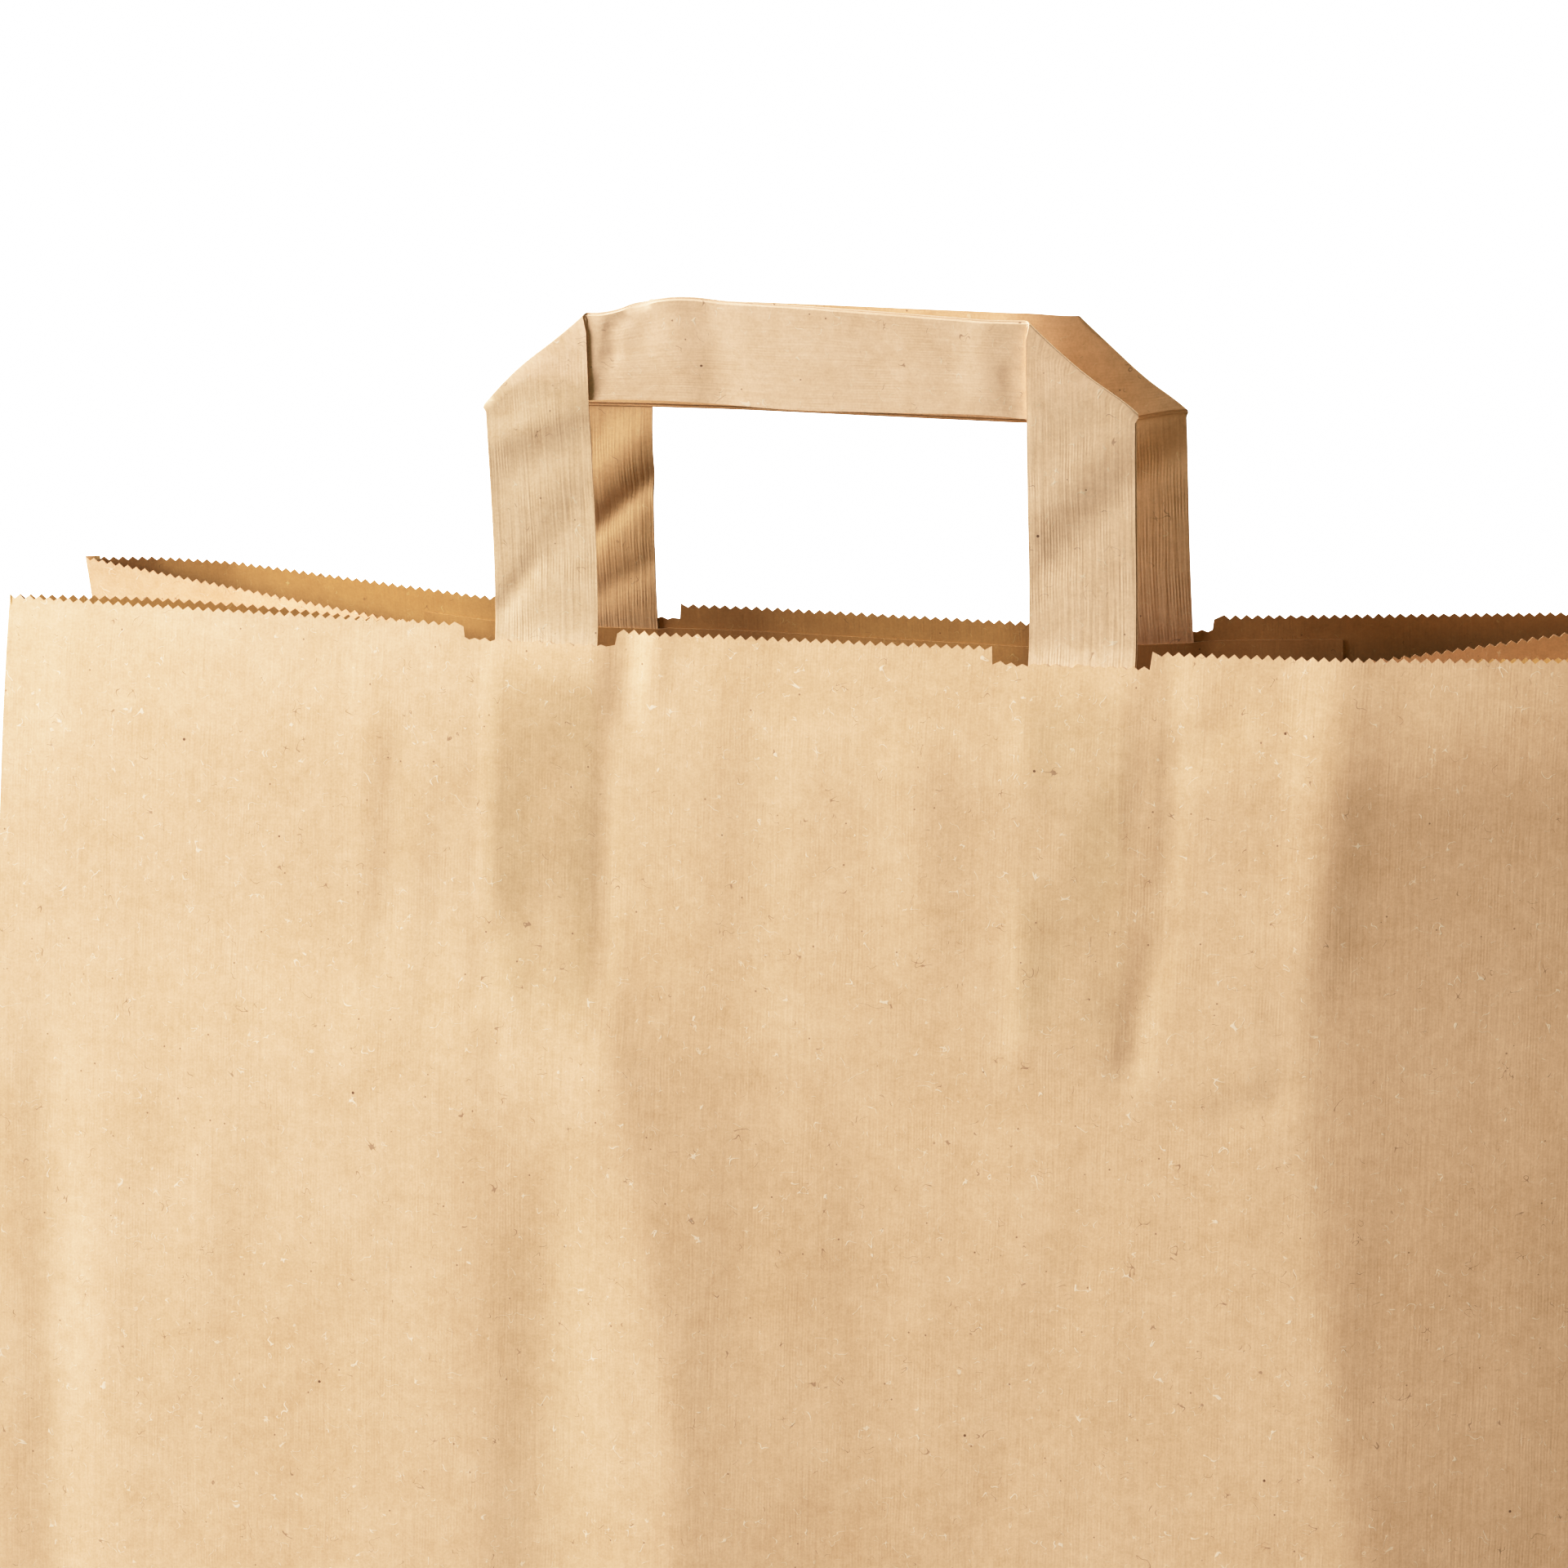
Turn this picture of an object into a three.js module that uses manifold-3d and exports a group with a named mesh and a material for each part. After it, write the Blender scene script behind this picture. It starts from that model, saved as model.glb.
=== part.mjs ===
// Paper carrier bag with flat folded handles, standing open on its block bottom.
// One folded sheet makes the body: front and rear panels, two gussets folded
// inwards, a glued seam and a closed bottom. Each handle is one flat paper strip,
// folded at 45 degrees at its corners and glued inside its panel under a patch.
// Millimetres. X runs along the width, the front panel faces -Y and Z is up.
// The origin is the middle of the bottom.
import * as THREE from 'three';
import { mergeVertices } from 'three/addons/utils/BufferGeometryUtils.js';
import Module from 'manifold-3d';

const wasm = await Module();
wasm.setup();

// The sheet
const BAG_WIDTH = 320;
const GUSSET_WIDTH = 170;
const PANEL_HEIGHT = 440;
const PAPER = 0.15;

// The mouth, pinched towards closed
const MOUTH_DEPTH = 33;
const FRONT_BOW = 8.3;
const FRONT_BOW_POWER = 2.3;
const CORNER_PINCH_POWER = 12;
const REAR_MIDDLE = 4.7;
const REAR_SAG_START = 0.3;
const CREASE_DROP_LEFT = 6;
const CREASE_DROP_RIGHT = 9.5;
const CREASE_FORWARD = 7.4;

// Soft bends of the rear rim in plan, from left to right
const REAR_LEFT_SLOPE = -0.1;
const REAR_BENDS = [
  { x: -125, turn: -0.26, soft: 9 },
  { x: -66, turn: 0.39, soft: 7 },
  { x: -20, turn: -0.105, soft: 9 },
  { x: 38, turn: 0.405, soft: 6 },
  { x: 72, turn: -0.13, soft: 5 },
];

// The saw-cut rim and the notches for the handle legs
const TOOTH_PITCH = 2.05;
const TOOTH_DEPTH = 0.9;
const NOTCH_WIDTH = 29.5;
const NOTCH_PITCH = 101;
const NOTCH_DEPTH = 2.8;
const NOTCH_SLANT = 2;
const FRONT_NOTCH_SHIFT = -2.5;
const REAR_NOTCH_SHIFT = 4.5;

// The handles: paper strips folded flat
const STRIP_WIDTH = 19.8;
const STRIP_THICKNESS = 0.5;
const LEG_PITCH = 101.5;
const LEG_DEPTH = 74;
const FRONT_HANDLE_RISE = 61.5;
const REAR_HANDLE_RISE = 58;
const FRONT_HANDLE_SHIFT = -0.8;
const REAR_HANDLE_SHIFT = 5.2;
const HANDLE_LEAN_OUT = THREE.MathUtils.degToRad(2);
const HANDLE_BEND_HEIGHT = 20;

// The patches glued over the legs, and the print of the legs in the panels
const PATCH_WIDTH = 177;
const PATCH_TOP = 5;
const PATCH_BOTTOM = 83;
const GLUE_GAP = 0.1;
const PRINT_RISE = 0.35;
const PRINT_EDGE = 1.5;
const PRINT_FADE = 6;

// The upright fold that runs down from the front patch's right edge
const RIDGE_RISE = 2;
const RIDGE_HALF_WIDTH = 15;
const RIDGE_DRIFT = 0.085;
const RIDGE_CLEARANCE = 2.5;

// The bottom flaps and the glued seam in the rear panel
const FRONT_FLAP_REACH = 90;
const REAR_FLAP_REACH = 104;
const FLAP_INSET = 0.1;
const SEAM_FROM_EDGE = 10;
const SEAM_WIDTH = 20;
const SEAM_EDGE = 0.4;

// Steps of the surfaces
const RIM_MARGIN = 2.3;
const COLUMN_STEP = 20;
const ROW_STEP = 40;
const GUSSET_COLUMNS = 4;
const MIN_COLUMN_GAP = 1.2;
const MITRE_LIMIT = 5;
const FOLD_STEPS = 4;
const BEND_STEPS = 4;
const BAR_STEP = 8;
const FOLD_MARGIN = 1;
const PROBE = 0.01;
const MITRE_EASE = 0.003;

const HALF_WIDTH = BAG_WIDTH / 2;
const HALF_GUSSET = GUSSET_WIDTH / 2;
const MIDDLE_LEAN = HALF_GUSSET - MOUTH_DEPTH / 2 - FRONT_BOW;
const RISE_PER_LENGTH = Math.sqrt(1 - (MIDDLE_LEAN / PANEL_HEIGHT) ** 2);
const LEAN_ANGLE = Math.asin(MIDDLE_LEAN / PANEL_HEIGHT);
const BASE_Z = 2 * PAPER;
const LEG_OFFSET = PAPER + GLUE_GAP;
const FAN_ROW = PANEL_HEIGHT - NOTCH_DEPTH - TOOTH_DEPTH - RIM_MARGIN;
const PRINT_TOP = FAN_ROW - PRINT_FADE;
const LEG_END = PANEL_HEIGHT - LEG_DEPTH;
const PATCH_END = PANEL_HEIGHT - PATCH_BOTTOM;
const SEAM_LEFT = SEAM_FROM_EDGE - HALF_WIDTH;
const SEAM_RIGHT = SEAM_LEFT + SEAM_WIDTH;

const kraft = (color) => new THREE.MeshStandardMaterial({ color, roughness: 0.9, metalness: 0 });
const smooth = (value) => THREE.MathUtils.smoothstep(value, 0, 1);

const FRONT = {
  inward: 1,
  notchShift: FRONT_NOTCH_SHIFT,
  handleShift: FRONT_HANDLE_SHIFT,
  handleRise: FRONT_HANDLE_RISE,
};
const REAR = {
  inward: -1,
  notchShift: REAR_NOTCH_SHIFT,
  handleShift: REAR_HANDLE_SHIFT,
  handleRise: REAR_HANDLE_RISE,
};

const legCentres = (side) => [side.handleShift - LEG_PITCH / 2, side.handleShift + LEG_PITCH / 2];

// A bend in plan: nothing before it, a straight slope of one after it
function softBend(x, bend) {
  const ahead = x - bend.x;
  if (ahead <= -bend.soft) return 0;
  if (ahead >= bend.soft) return ahead;
  return (ahead + bend.soft) ** 2 / (4 * bend.soft);
}

function rearPlanRaw(x) {
  let y = REAR_LEFT_SLOPE * x;
  for (const bend of REAR_BENDS) y += bend.turn * softBend(x, bend);
  return y;
}

// How far the rear rim stands behind the line of the mouth's middle
const rearPlan = (x) => rearPlanRaw(x) - rearPlanRaw(0) - REAR_MIDDLE;

const bowAt = (x) => FRONT_BOW * Math.abs(x / HALF_WIDTH) ** FRONT_BOW_POWER;

// The raised print of a leg, one over the leg and nothing beyond its edge
function legPrint(side, x, length) {
  const across = Math.min(...legCentres(side).map((centre) => Math.abs(x - centre)));
  const acrossShare = 1 - (across - STRIP_WIDTH / 2) / PRINT_EDGE;
  const lowShare = 1 + (length - LEG_END) / PRINT_EDGE;
  const highShare = (FAN_ROW - length) / (FAN_ROW - PRINT_TOP);
  return PRINT_RISE * THREE.MathUtils.clamp(Math.min(acrossShare, lowShare, highShare), 0, 1);
}

const PATCH_RIGHT = FRONT_HANDLE_SHIFT + PATCH_WIDTH / 2;
const ridgeX = (length) => PATCH_RIGHT + RIDGE_CLEARANCE + RIDGE_DRIFT * (PANEL_HEIGHT - length);

function ridge(x, length) {
  const share = length / PANEL_HEIGHT;
  const across = 1 - Math.abs(x - ridgeX(length)) / RIDGE_HALF_WIDTH;
  return RIDGE_RISE * 4 * share * (1 - share) * THREE.MathUtils.clamp(across, 0, 1);
}

const heightAt = (length) => BASE_Z + length * RISE_PER_LENGTH;

// A point of the outer face of a panel, by its place across and its length up the sheet
function panelPoint(side, x, length) {
  const share = length / PANEL_HEIGHT;
  const pinch = bowAt(x) * share ** CORNER_PINCH_POWER;
  const half = HALF_GUSSET - MIDDLE_LEAN * share - pinch + legPrint(side, x, length);
  if (side === FRONT) return new THREE.Vector3(x, -half - ridge(x, length), heightAt(length));
  const sagShare = smooth((share - REAR_SAG_START) / (1 - REAR_SAG_START));
  const rimHalf = HALF_GUSSET - MIDDLE_LEAN - bowAt(x);
  const sag = Math.max(rimHalf - rearPlan(x), 0) * sagShare;
  return new THREE.Vector3(x, half - sag, heightAt(length));
}

// The same sheet carried on above the rim, bending to the handle's own lean
function sheetPoint(side, x, rise) {
  if (rise <= 0) return panelPoint(side, x, PANEL_HEIGHT + rise);
  const point = panelPoint(side, x, PANEL_HEIGHT);
  const turn = (LEAN_ANGLE + HANDLE_LEAN_OUT) / HANDLE_BEND_HEIGHT;
  const bent = Math.min(rise, HANDLE_BEND_HEIGHT);
  const straight = rise - bent;
  const endAngle = LEAN_ANGLE - turn * bent;
  const run = (Math.cos(endAngle) - Math.cos(LEAN_ANGLE)) / turn + straight * Math.sin(endAngle);
  point.y += side.inward * run;
  point.z += (Math.sin(LEAN_ANGLE) - Math.sin(endAngle)) / turn + straight * Math.cos(endAngle);
  return point;
}

// A point at a depth below the sheet's outer face, towards the inside of the bag
function layerPoint(side, x, rise, depth) {
  const across = sheetPoint(side, x + PROBE, rise).sub(sheetPoint(side, x - PROBE, rise));
  const up = sheetPoint(side, x, rise + PROBE).sub(sheetPoint(side, x, rise - PROBE));
  const normal = across.cross(up).normalize();
  return sheetPoint(side, x, rise).addScaledVector(normal, -side.inward * depth);
}

// Places across a panel: its edges, legs, patch and bends first, then even steps
function panelColumns(side) {
  const fixed = [-HALF_WIDTH, HALF_WIDTH];
  for (const centre of legCentres(side)) {
    const half = STRIP_WIDTH / 2;
    fixed.push(centre - half - PRINT_EDGE, centre - half, centre + half, centre + half + PRINT_EDGE);
  }
  fixed.push(side.handleShift - PATCH_WIDTH / 2, side.handleShift + PATCH_WIDTH / 2);
  if (side === REAR) {
    fixed.push(SEAM_LEFT, SEAM_LEFT + SEAM_EDGE, SEAM_RIGHT - SEAM_EDGE, SEAM_RIGHT);
  }
  const columns = [...fixed];
  const inLeg = (x) => legCentres(side).some((centre) => Math.abs(x - centre) < STRIP_WIDTH / 2);
  const add = (x, gap) => {
    if (!inLeg(x) && columns.every((other) => Math.abs(other - x) >= gap)) columns.push(x);
  };
  if (side === REAR) {
    for (const bend of REAR_BENDS) {
      for (const step of [-1, -1 / 3, 1 / 3, 1]) add(bend.x + step * bend.soft, MIN_COLUMN_GAP);
    }
  }
  const steps = Math.round(BAG_WIDTH / COLUMN_STEP);
  for (let i = 1; i < steps; i += 1) add(-HALF_WIDTH + (i * BAG_WIDTH) / steps, COLUMN_STEP / 3);
  return columns.sort((a, b) => a - b);
}

// Lengths up the sheet of the rows of the wall: gusset triangle, plain wall, patch and legs
function wallRows() {
  const rows = [];
  for (let i = 0; i <= GUSSET_COLUMNS; i += 1) rows.push((HALF_GUSSET * i) / GUSSET_COLUMNS);
  const plain = Math.round((PATCH_END - HALF_GUSSET) / ROW_STEP);
  for (let i = 1; i <= plain; i += 1) rows.push(HALF_GUSSET + ((PATCH_END - HALF_GUSSET) * i) / plain);
  rows.push(LEG_END - PRINT_EDGE, LEG_END);
  const upper = Math.round((PRINT_TOP - LEG_END) / (ROW_STEP / 2));
  for (let i = 1; i <= upper; i += 1) rows.push(LEG_END + ((PRINT_TOP - LEG_END) * i) / upper);
  rows.push(FAN_ROW);
  return rows;
}

const ROWS = wallRows();

// The right wall's fold columns move with the ridge, so they are placed for each row
function columnAt(side, column, length) {
  if (side === REAR || column <= PATCH_RIGHT) return column;
  const start = ridgeX(PANEL_HEIGHT);
  const shift = ridgeX(length) - start;
  const room = (HALF_WIDTH - column) / (HALF_WIDTH - start);
  return column + shift * THREE.MathUtils.clamp(room, 0, 1);
}

// The gusset's standing crease: the middle of the two corner edges, drawn inwards
const cornerEdge = (side, hand, length) => panelPoint(side, hand * HALF_WIDTH, length);

function apexInset() {
  const edgeHalf = HALF_GUSSET - (MIDDLE_LEAN * HALF_GUSSET) / PANEL_HEIGHT;
  const edgeHeight = HALF_GUSSET * RISE_PER_LENGTH;
  const height = (edgeHalf ** 2 + edgeHeight ** 2) / (2 * edgeHeight);
  return { inset: Math.sqrt(HALF_GUSSET ** 2 - height ** 2), drop: edgeHeight - height };
}

function creasePoint(hand, length) {
  const front = cornerEdge(FRONT, hand, length);
  const rear = cornerEdge(REAR, hand, length);
  const share = (length - HALF_GUSSET) / (PANEL_HEIGHT - HALF_GUSSET);
  const apex = apexInset();
  const rimDrop = hand < 0 ? CREASE_DROP_LEFT : CREASE_DROP_RIGHT;
  const drop = THREE.MathUtils.lerp(apex.drop, rimDrop, smooth(share));
  const forward = CREASE_FORWARD * smooth(share);
  const half = front.distanceTo(rear) / 2;
  const inset = Math.sqrt(HALF_GUSSET ** 2 - half ** 2 - drop ** 2);
  const crease = front.clone().add(rear).multiplyScalar(0.5);
  return crease.add(new THREE.Vector3(-hand * inset, -forward, -drop));
}

// A point of one gusset half, by its place in from the corner edge and its length up
function gussetPoint(side, hand, inward, length) {
  if (length >= HALF_GUSSET) {
    const share = inward / HALF_GUSSET;
    return cornerEdge(side, hand, length).lerp(creasePoint(hand, length), share);
  }
  const foot = cornerEdge(side, hand, 0);
  const apex = creasePoint(hand, HALF_GUSSET);
  if (inward <= length) {
    const edge = cornerEdge(side, hand, HALF_GUSSET).sub(foot);
    const alongEdge = edge.multiplyScalar((length - inward) / HALF_GUSSET);
    return foot.clone().add(alongEdge).add(apex.sub(foot).multiplyScalar(inward / HALF_GUSSET));
  }
  const middle = new THREE.Vector3(foot.x, 0, foot.z);
  const alongBase = middle.sub(foot).multiplyScalar((inward - length) / HALF_GUSSET);
  return foot.clone().add(alongBase).add(apex.sub(foot).multiplyScalar(length / HALF_GUSSET));
}

// A surface of triangles whose corners are shared where they lie on the same spot
class Sheet {
  constructor() {
    this.points = [];
    this.triangles = [];
    this.index = new Map();
    this.doubled = new Set();
  }

  vertex(point) {
    const key = point.toArray().map((value) => Math.round(value * 1e4)).join();
    if (!this.index.has(key)) {
      this.index.set(key, this.points.length);
      this.points.push(point.clone());
    }
    return this.index.get(key);
  }

  triangle(a, b, c) {
    const corners = [a, b, c].map((point) => this.vertex(point));
    if (new Set(corners).size === 3) this.triangles.push(corners);
  }

  // Rows of points, each cell split from its low start to its high end
  grid(rows) {
    for (let j = 1; j < rows.length; j += 1) {
      for (let i = 1; i < rows[j].length; i += 1) {
        this.triangle(rows[j - 1][i - 1], rows[j - 1][i], rows[j][i]);
        this.triangle(rows[j - 1][i - 1], rows[j][i], rows[j][i - 1]);
      }
    }
  }

  // The same rows seen from behind, with the cells split along the same lines
  gridFromBehind(rows) {
    for (let j = 1; j < rows.length; j += 1) {
      for (let i = 1; i < rows[j].length; i += 1) {
        this.triangle(rows[j - 1][i - 1], rows[j][i], rows[j - 1][i]);
        this.triangle(rows[j - 1][i - 1], rows[j][i - 1], rows[j][i]);
      }
    }
  }

  // The strip between a lower row and an upper one with other steps
  fan(lower, upper) {
    let i = 0;
    let j = 0;
    while (i < lower.length - 1 || j < upper.length - 1) {
      const upperNext = j < upper.length - 1 ? upper[j + 1].at : Infinity;
      const lowerNext = i < lower.length - 1 ? lower[i + 1].at : Infinity;
      if (upperNext <= lowerNext) {
        this.triangle(lower[i].point, upper[j + 1].point, upper[j].point);
        j += 1;
      } else {
        this.triangle(lower[i].point, lower[i + 1].point, upper[j].point);
        i += 1;
      }
    }
  }

  // Where a second layer of the sheet lies on the outside
  double(points) {
    for (const point of points) this.doubled.add(this.vertex(point));
  }

  normals() {
    return this.triangles.map(([a, b, c]) => {
      const first = this.points[b].clone().sub(this.points[a]);
      const second = this.points[c].clone().sub(this.points[a]);
      return first.cross(second).normalize();
    });
  }
}

// The move that carries a corner of the sheet one unit below each face around it
function mitre(normals) {
  const sum = new THREE.Matrix3().set(0, 0, 0, 0, 0, 0, 0, 0, 0);
  const total = new THREE.Vector3();
  const sumElements = sum.elements;
  for (const normal of normals) {
    const parts = normal.toArray();
    for (let row = 0; row < 3; row += 1) {
      for (let column = 0; column < 3; column += 1) {
        sumElements[row * 3 + column] += (parts[row] * parts[column]) / normals.length;
      }
    }
    total.addScaledVector(normal, 1 / normals.length);
  }
  for (const diagonal of [0, 4, 8]) sumElements[diagonal] += MITRE_EASE;
  const move = total.applyMatrix3(sum.invert());
  return move.multiplyScalar(-1).clampLength(0, MITRE_LIMIT);
}

// The closed solid between a sheet's outer face and its inner face
function thicken(sheet, thickness) {
  const around = sheet.points.map(() => []);
  const normals = sheet.normals();
  sheet.triangles.forEach((corners, face) => {
    for (const corner of corners) around[corner].push(normals[face]);
  });
  const moves = around.map((faces) => mitre(faces).multiplyScalar(thickness));
  const outer = sheet.points.map((point, i) => (sheet.doubled.has(i) ? point.clone().sub(moves[i]) : point));
  const inner = sheet.points.map((point, i) => point.clone().add(moves[i]));
  const count = sheet.points.length;
  const faces = [...sheet.triangles];
  const edges = new Map();
  for (const [a, b, c] of sheet.triangles) {
    faces.push([a + count, c + count, b + count]);
    for (const [from, to] of [[a, b], [b, c], [c, a]]) edges.set(`${from},${to}`, [from, to]);
  }
  for (const [from, to] of edges.values()) {
    if (!edges.has(`${to},${from}`)) {
      faces.push([to, from, from + count]);
      faces.push([to, from + count, to + count]);
    }
  }
  return { points: [...outer, ...inner], faces };
}

function geometryOf(points, faces) {
  const geometry = new THREE.BufferGeometry();
  geometry.setAttribute('position', new THREE.Float32BufferAttribute(points.flatMap((p) => p.toArray()), 3));
  geometry.setIndex(faces.flat());
  return geometry;
}

function toManifold(geometry) {
  const bare = geometry.clone();
  bare.deleteAttribute('normal');
  bare.deleteAttribute('uv');
  const merged = mergeVertices(bare, 1e-4);
  const vertProperties = new Float32Array(merged.attributes.position.array);
  const triVerts = new Uint32Array(merged.index.array);
  return new wasm.Manifold(new wasm.Mesh({ numProp: 3, vertProperties, triVerts }));
}

function fromManifold(solid) {
  const mesh = solid.getMesh();
  const geometry = new THREE.BufferGeometry();
  geometry.setAttribute('position', new THREE.BufferAttribute(mesh.vertProperties, 3));
  geometry.setIndex(new THREE.BufferAttribute(mesh.triVerts, 1));
  return geometry;
}

const inSeam = (point) => point.x > SEAM_LEFT + PROBE && point.x < SEAM_RIGHT - PROBE;

// How deep the notches cut at a place across a panel
function notchAt(side, x) {
  const across = Math.min(
    Math.abs(x - side.notchShift - NOTCH_PITCH / 2),
    Math.abs(x - side.notchShift + NOTCH_PITCH / 2),
  );
  return NOTCH_DEPTH * THREE.MathUtils.clamp((NOTCH_WIDTH / 2 - across) / NOTCH_SLANT, 0, 1);
}

// The saw-cut rim over a width, tip and valley in turn, with a tip at both ends
function sawRim(width, pointAt) {
  const teeth = Math.max(Math.round(width / TOOTH_PITCH), 1);
  const rim = [];
  for (let i = 0; i <= 2 * teeth; i += 1) {
    const at = (width * i) / (2 * teeth);
    const length = PANEL_HEIGHT - (i % 2 === 1 ? TOOTH_DEPTH : 0);
    rim.push({ at, point: pointAt(at, length) });
  }
  return rim;
}

const turnedOver = (row) => [...row].reverse();

function addPanel(sheet, side) {
  const columns = panelColumns(side);
  const rows = ROWS.map((length) => columns.map((x) => panelPoint(side, columnAt(side, x, length), length)));
  const top = columns.map((x, i) => ({ at: x + HALF_WIDTH, point: rows[rows.length - 1][i] }));
  const rim = sawRim(BAG_WIDTH, (at, length) => {
    const x = at - HALF_WIDTH;
    return panelPoint(side, x, length - notchAt(side, x));
  });
  if (side === FRONT) {
    sheet.grid(rows);
    sheet.fan(top, rim);
  } else {
    const mirrored = (row) => turnedOver(row).map(({ at, point }) => ({ at: BAG_WIDTH - at, point }));
    sheet.gridFromBehind(rows);
    sheet.fan(mirrored(top), mirrored(rim));
    sheet.double([...rows.slice(1).flat(), ...rim.map(({ point }) => point)].filter(inSeam));
  }
}

function addGussetHalf(sheet, side, hand) {
  const places = [];
  for (let i = 0; i <= GUSSET_COLUMNS; i += 1) places.push((HALF_GUSSET * i) / GUSSET_COLUMNS);
  const rows = ROWS.map((length) => places.map((inward) => gussetPoint(side, hand, inward, length)));
  const top = places.map((inward, i) => ({ at: inward, point: rows[rows.length - 1][i] }));
  const rim = sawRim(HALF_GUSSET, (inward, length) => gussetPoint(side, hand, inward, length));
  const outwards = (side === FRONT) === (hand > 0);
  if (outwards) {
    sheet.grid(rows);
    sheet.fan(top, rim);
  } else {
    const mirrored = (row) => turnedOver(row).map(({ at, point }) => ({ at: HALF_GUSSET - at, point }));
    sheet.grid(rows.map(turnedOver));
    sheet.fan(mirrored(top), mirrored(rim));
  }
}

// The bottom sheet closes the foot of the walls
function addBottom(sheet) {
  const outline = [];
  const places = [];
  for (let i = -GUSSET_COLUMNS; i <= GUSSET_COLUMNS; i += 1) places.push((HALF_GUSSET * i) / GUSSET_COLUMNS);
  for (const x of panelColumns(FRONT)) outline.push(panelPoint(FRONT, columnAt(FRONT, x, 0), 0));
  for (const y of places.slice(1, -1)) outline.push(new THREE.Vector3(HALF_WIDTH, y, BASE_Z));
  for (const x of turnedOver(panelColumns(REAR))) outline.push(panelPoint(REAR, x, 0));
  for (const y of turnedOver(places.slice(1, -1))) outline.push(new THREE.Vector3(-HALF_WIDTH, y, BASE_Z));
  const flat = outline.map((point) => new THREE.Vector2(point.x, point.y));
  for (const [a, b, c] of THREE.ShapeUtils.triangulateShape(flat, [])) {
    sheet.triangle(outline[a], outline[c], outline[b]);
  }
}

// A bottom flap: folded in from a long edge, with ends at 45 degrees
function flap(edgeSign, reach, lowest) {
  const edge = HALF_GUSSET - FLAP_INSET;
  const half = HALF_WIDTH - 2 * FLAP_INSET;
  const shape = new THREE.Shape();
  shape.moveTo(-half, edgeSign * edge);
  shape.lineTo(half, edgeSign * edge);
  shape.lineTo(half - reach, edgeSign * (edge - reach));
  shape.lineTo(-half + reach, edgeSign * (edge - reach));
  shape.closePath();
  const depth = BASE_Z + PAPER / 2 - lowest;
  return new THREE.ExtrudeGeometry(shape, { depth, bevelEnabled: false }).translate(0, 0, lowest);
}

function bagBody() {
  const sheet = new Sheet();
  for (const side of [FRONT, REAR]) {
    addPanel(sheet, side);
    for (const hand of [-1, 1]) addGussetHalf(sheet, side, hand);
  }
  addBottom(sheet);
  const solid = thicken(sheet, PAPER);
  return fromManifold(
    toManifold(geometryOf(solid.points, solid.faces))
      .add(toManifold(flap(-1, FRONT_FLAP_REACH, PAPER)))
      .add(toManifold(flap(1, REAR_FLAP_REACH, 0))),
  );
}

// Handle: a flat strip up one leg, round a 45-degree fold, along the bar and down again.
// A station is one line across the strip: two edge points with a front and a back depth.
function handleStations(side) {
  const [left, right] = legCentres(side);
  const half = STRIP_WIDTH / 2;
  const rise = side.handleRise;
  const nearDepth = LEG_OFFSET;
  const foldRadius = GLUE_GAP / 2 + STRIP_THICKNESS;
  const foldDepth = nearDepth + foldRadius;
  const legRises = ROWS.filter((length) => length >= LEG_END).map((length) => length - PANEL_HEIGHT);
  for (let i = 0; i <= BEND_STEPS; i += 1) legRises.push((HANDLE_BEND_HEIGHT * i) / BEND_STEPS);
  legRises.push(rise - STRIP_WIDTH - FOLD_MARGIN);

  const leg = (centre, hand) => legRises.map((v) => ({
    outer: { x: centre + hand * half, v },
    inner: { x: centre - hand * half, v },
    skinDepth: nearDepth,
    backDepth: nearDepth + STRIP_THICKNESS,
  }));
  const fold = (centre, hand) => {
    const stations = [];
    for (let i = 0; i <= FOLD_STEPS; i += 1) {
      const angle = (Math.PI * i) / FOLD_STEPS;
      const reach = (radius) => (radius * Math.sin(angle)) / Math.SQRT2;
      stations.push({
        outer: { x: centre + hand * half, v: rise - STRIP_WIDTH },
        inner: { x: centre - hand * half, v: rise },
        skinDepth: foldDepth - foldRadius * Math.cos(angle),
        backDepth: foldDepth - (GLUE_GAP / 2) * Math.cos(angle),
        skinReach: { x: hand * reach(foldRadius), v: reach(foldRadius) },
        backReach: { x: hand * reach(GLUE_GAP / 2), v: reach(GLUE_GAP / 2) },
      });
    }
    return stations;
  };
  const start = left + half + FOLD_MARGIN;
  const end = right - half - FOLD_MARGIN;
  const barSteps = Math.round((end - start) / BAR_STEP);
  const bar = [];
  for (let i = 0; i <= barSteps; i += 1) {
    const x = start + ((end - start) * i) / barSteps;
    bar.push({
      outer: { x, v: rise - STRIP_WIDTH },
      inner: { x, v: rise },
      skinDepth: foldDepth + foldRadius,
      backDepth: foldDepth + GLUE_GAP / 2,
    });
  }
  const rightFold = turnedOver(fold(right, 1));
  const rightLeg = turnedOver(leg(right, 1));
  return [...leg(left, -1), ...fold(left, -1), ...bar, ...rightFold, ...rightLeg];
}

function handle(side) {
  const still = { x: 0, v: 0 };
  const rings = handleStations(side).map((station) => {
    const { outer, inner, skinDepth, backDepth, skinReach = still, backReach = still } = station;
    return [
      layerPoint(side, outer.x + skinReach.x, outer.v + skinReach.v, skinDepth),
      layerPoint(side, inner.x + skinReach.x, inner.v + skinReach.v, skinDepth),
      layerPoint(side, inner.x + backReach.x, inner.v + backReach.v, backDepth),
      layerPoint(side, outer.x + backReach.x, outer.v + backReach.v, backDepth),
    ];
  });
  return lofted(rings, side === REAR);
}

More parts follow.
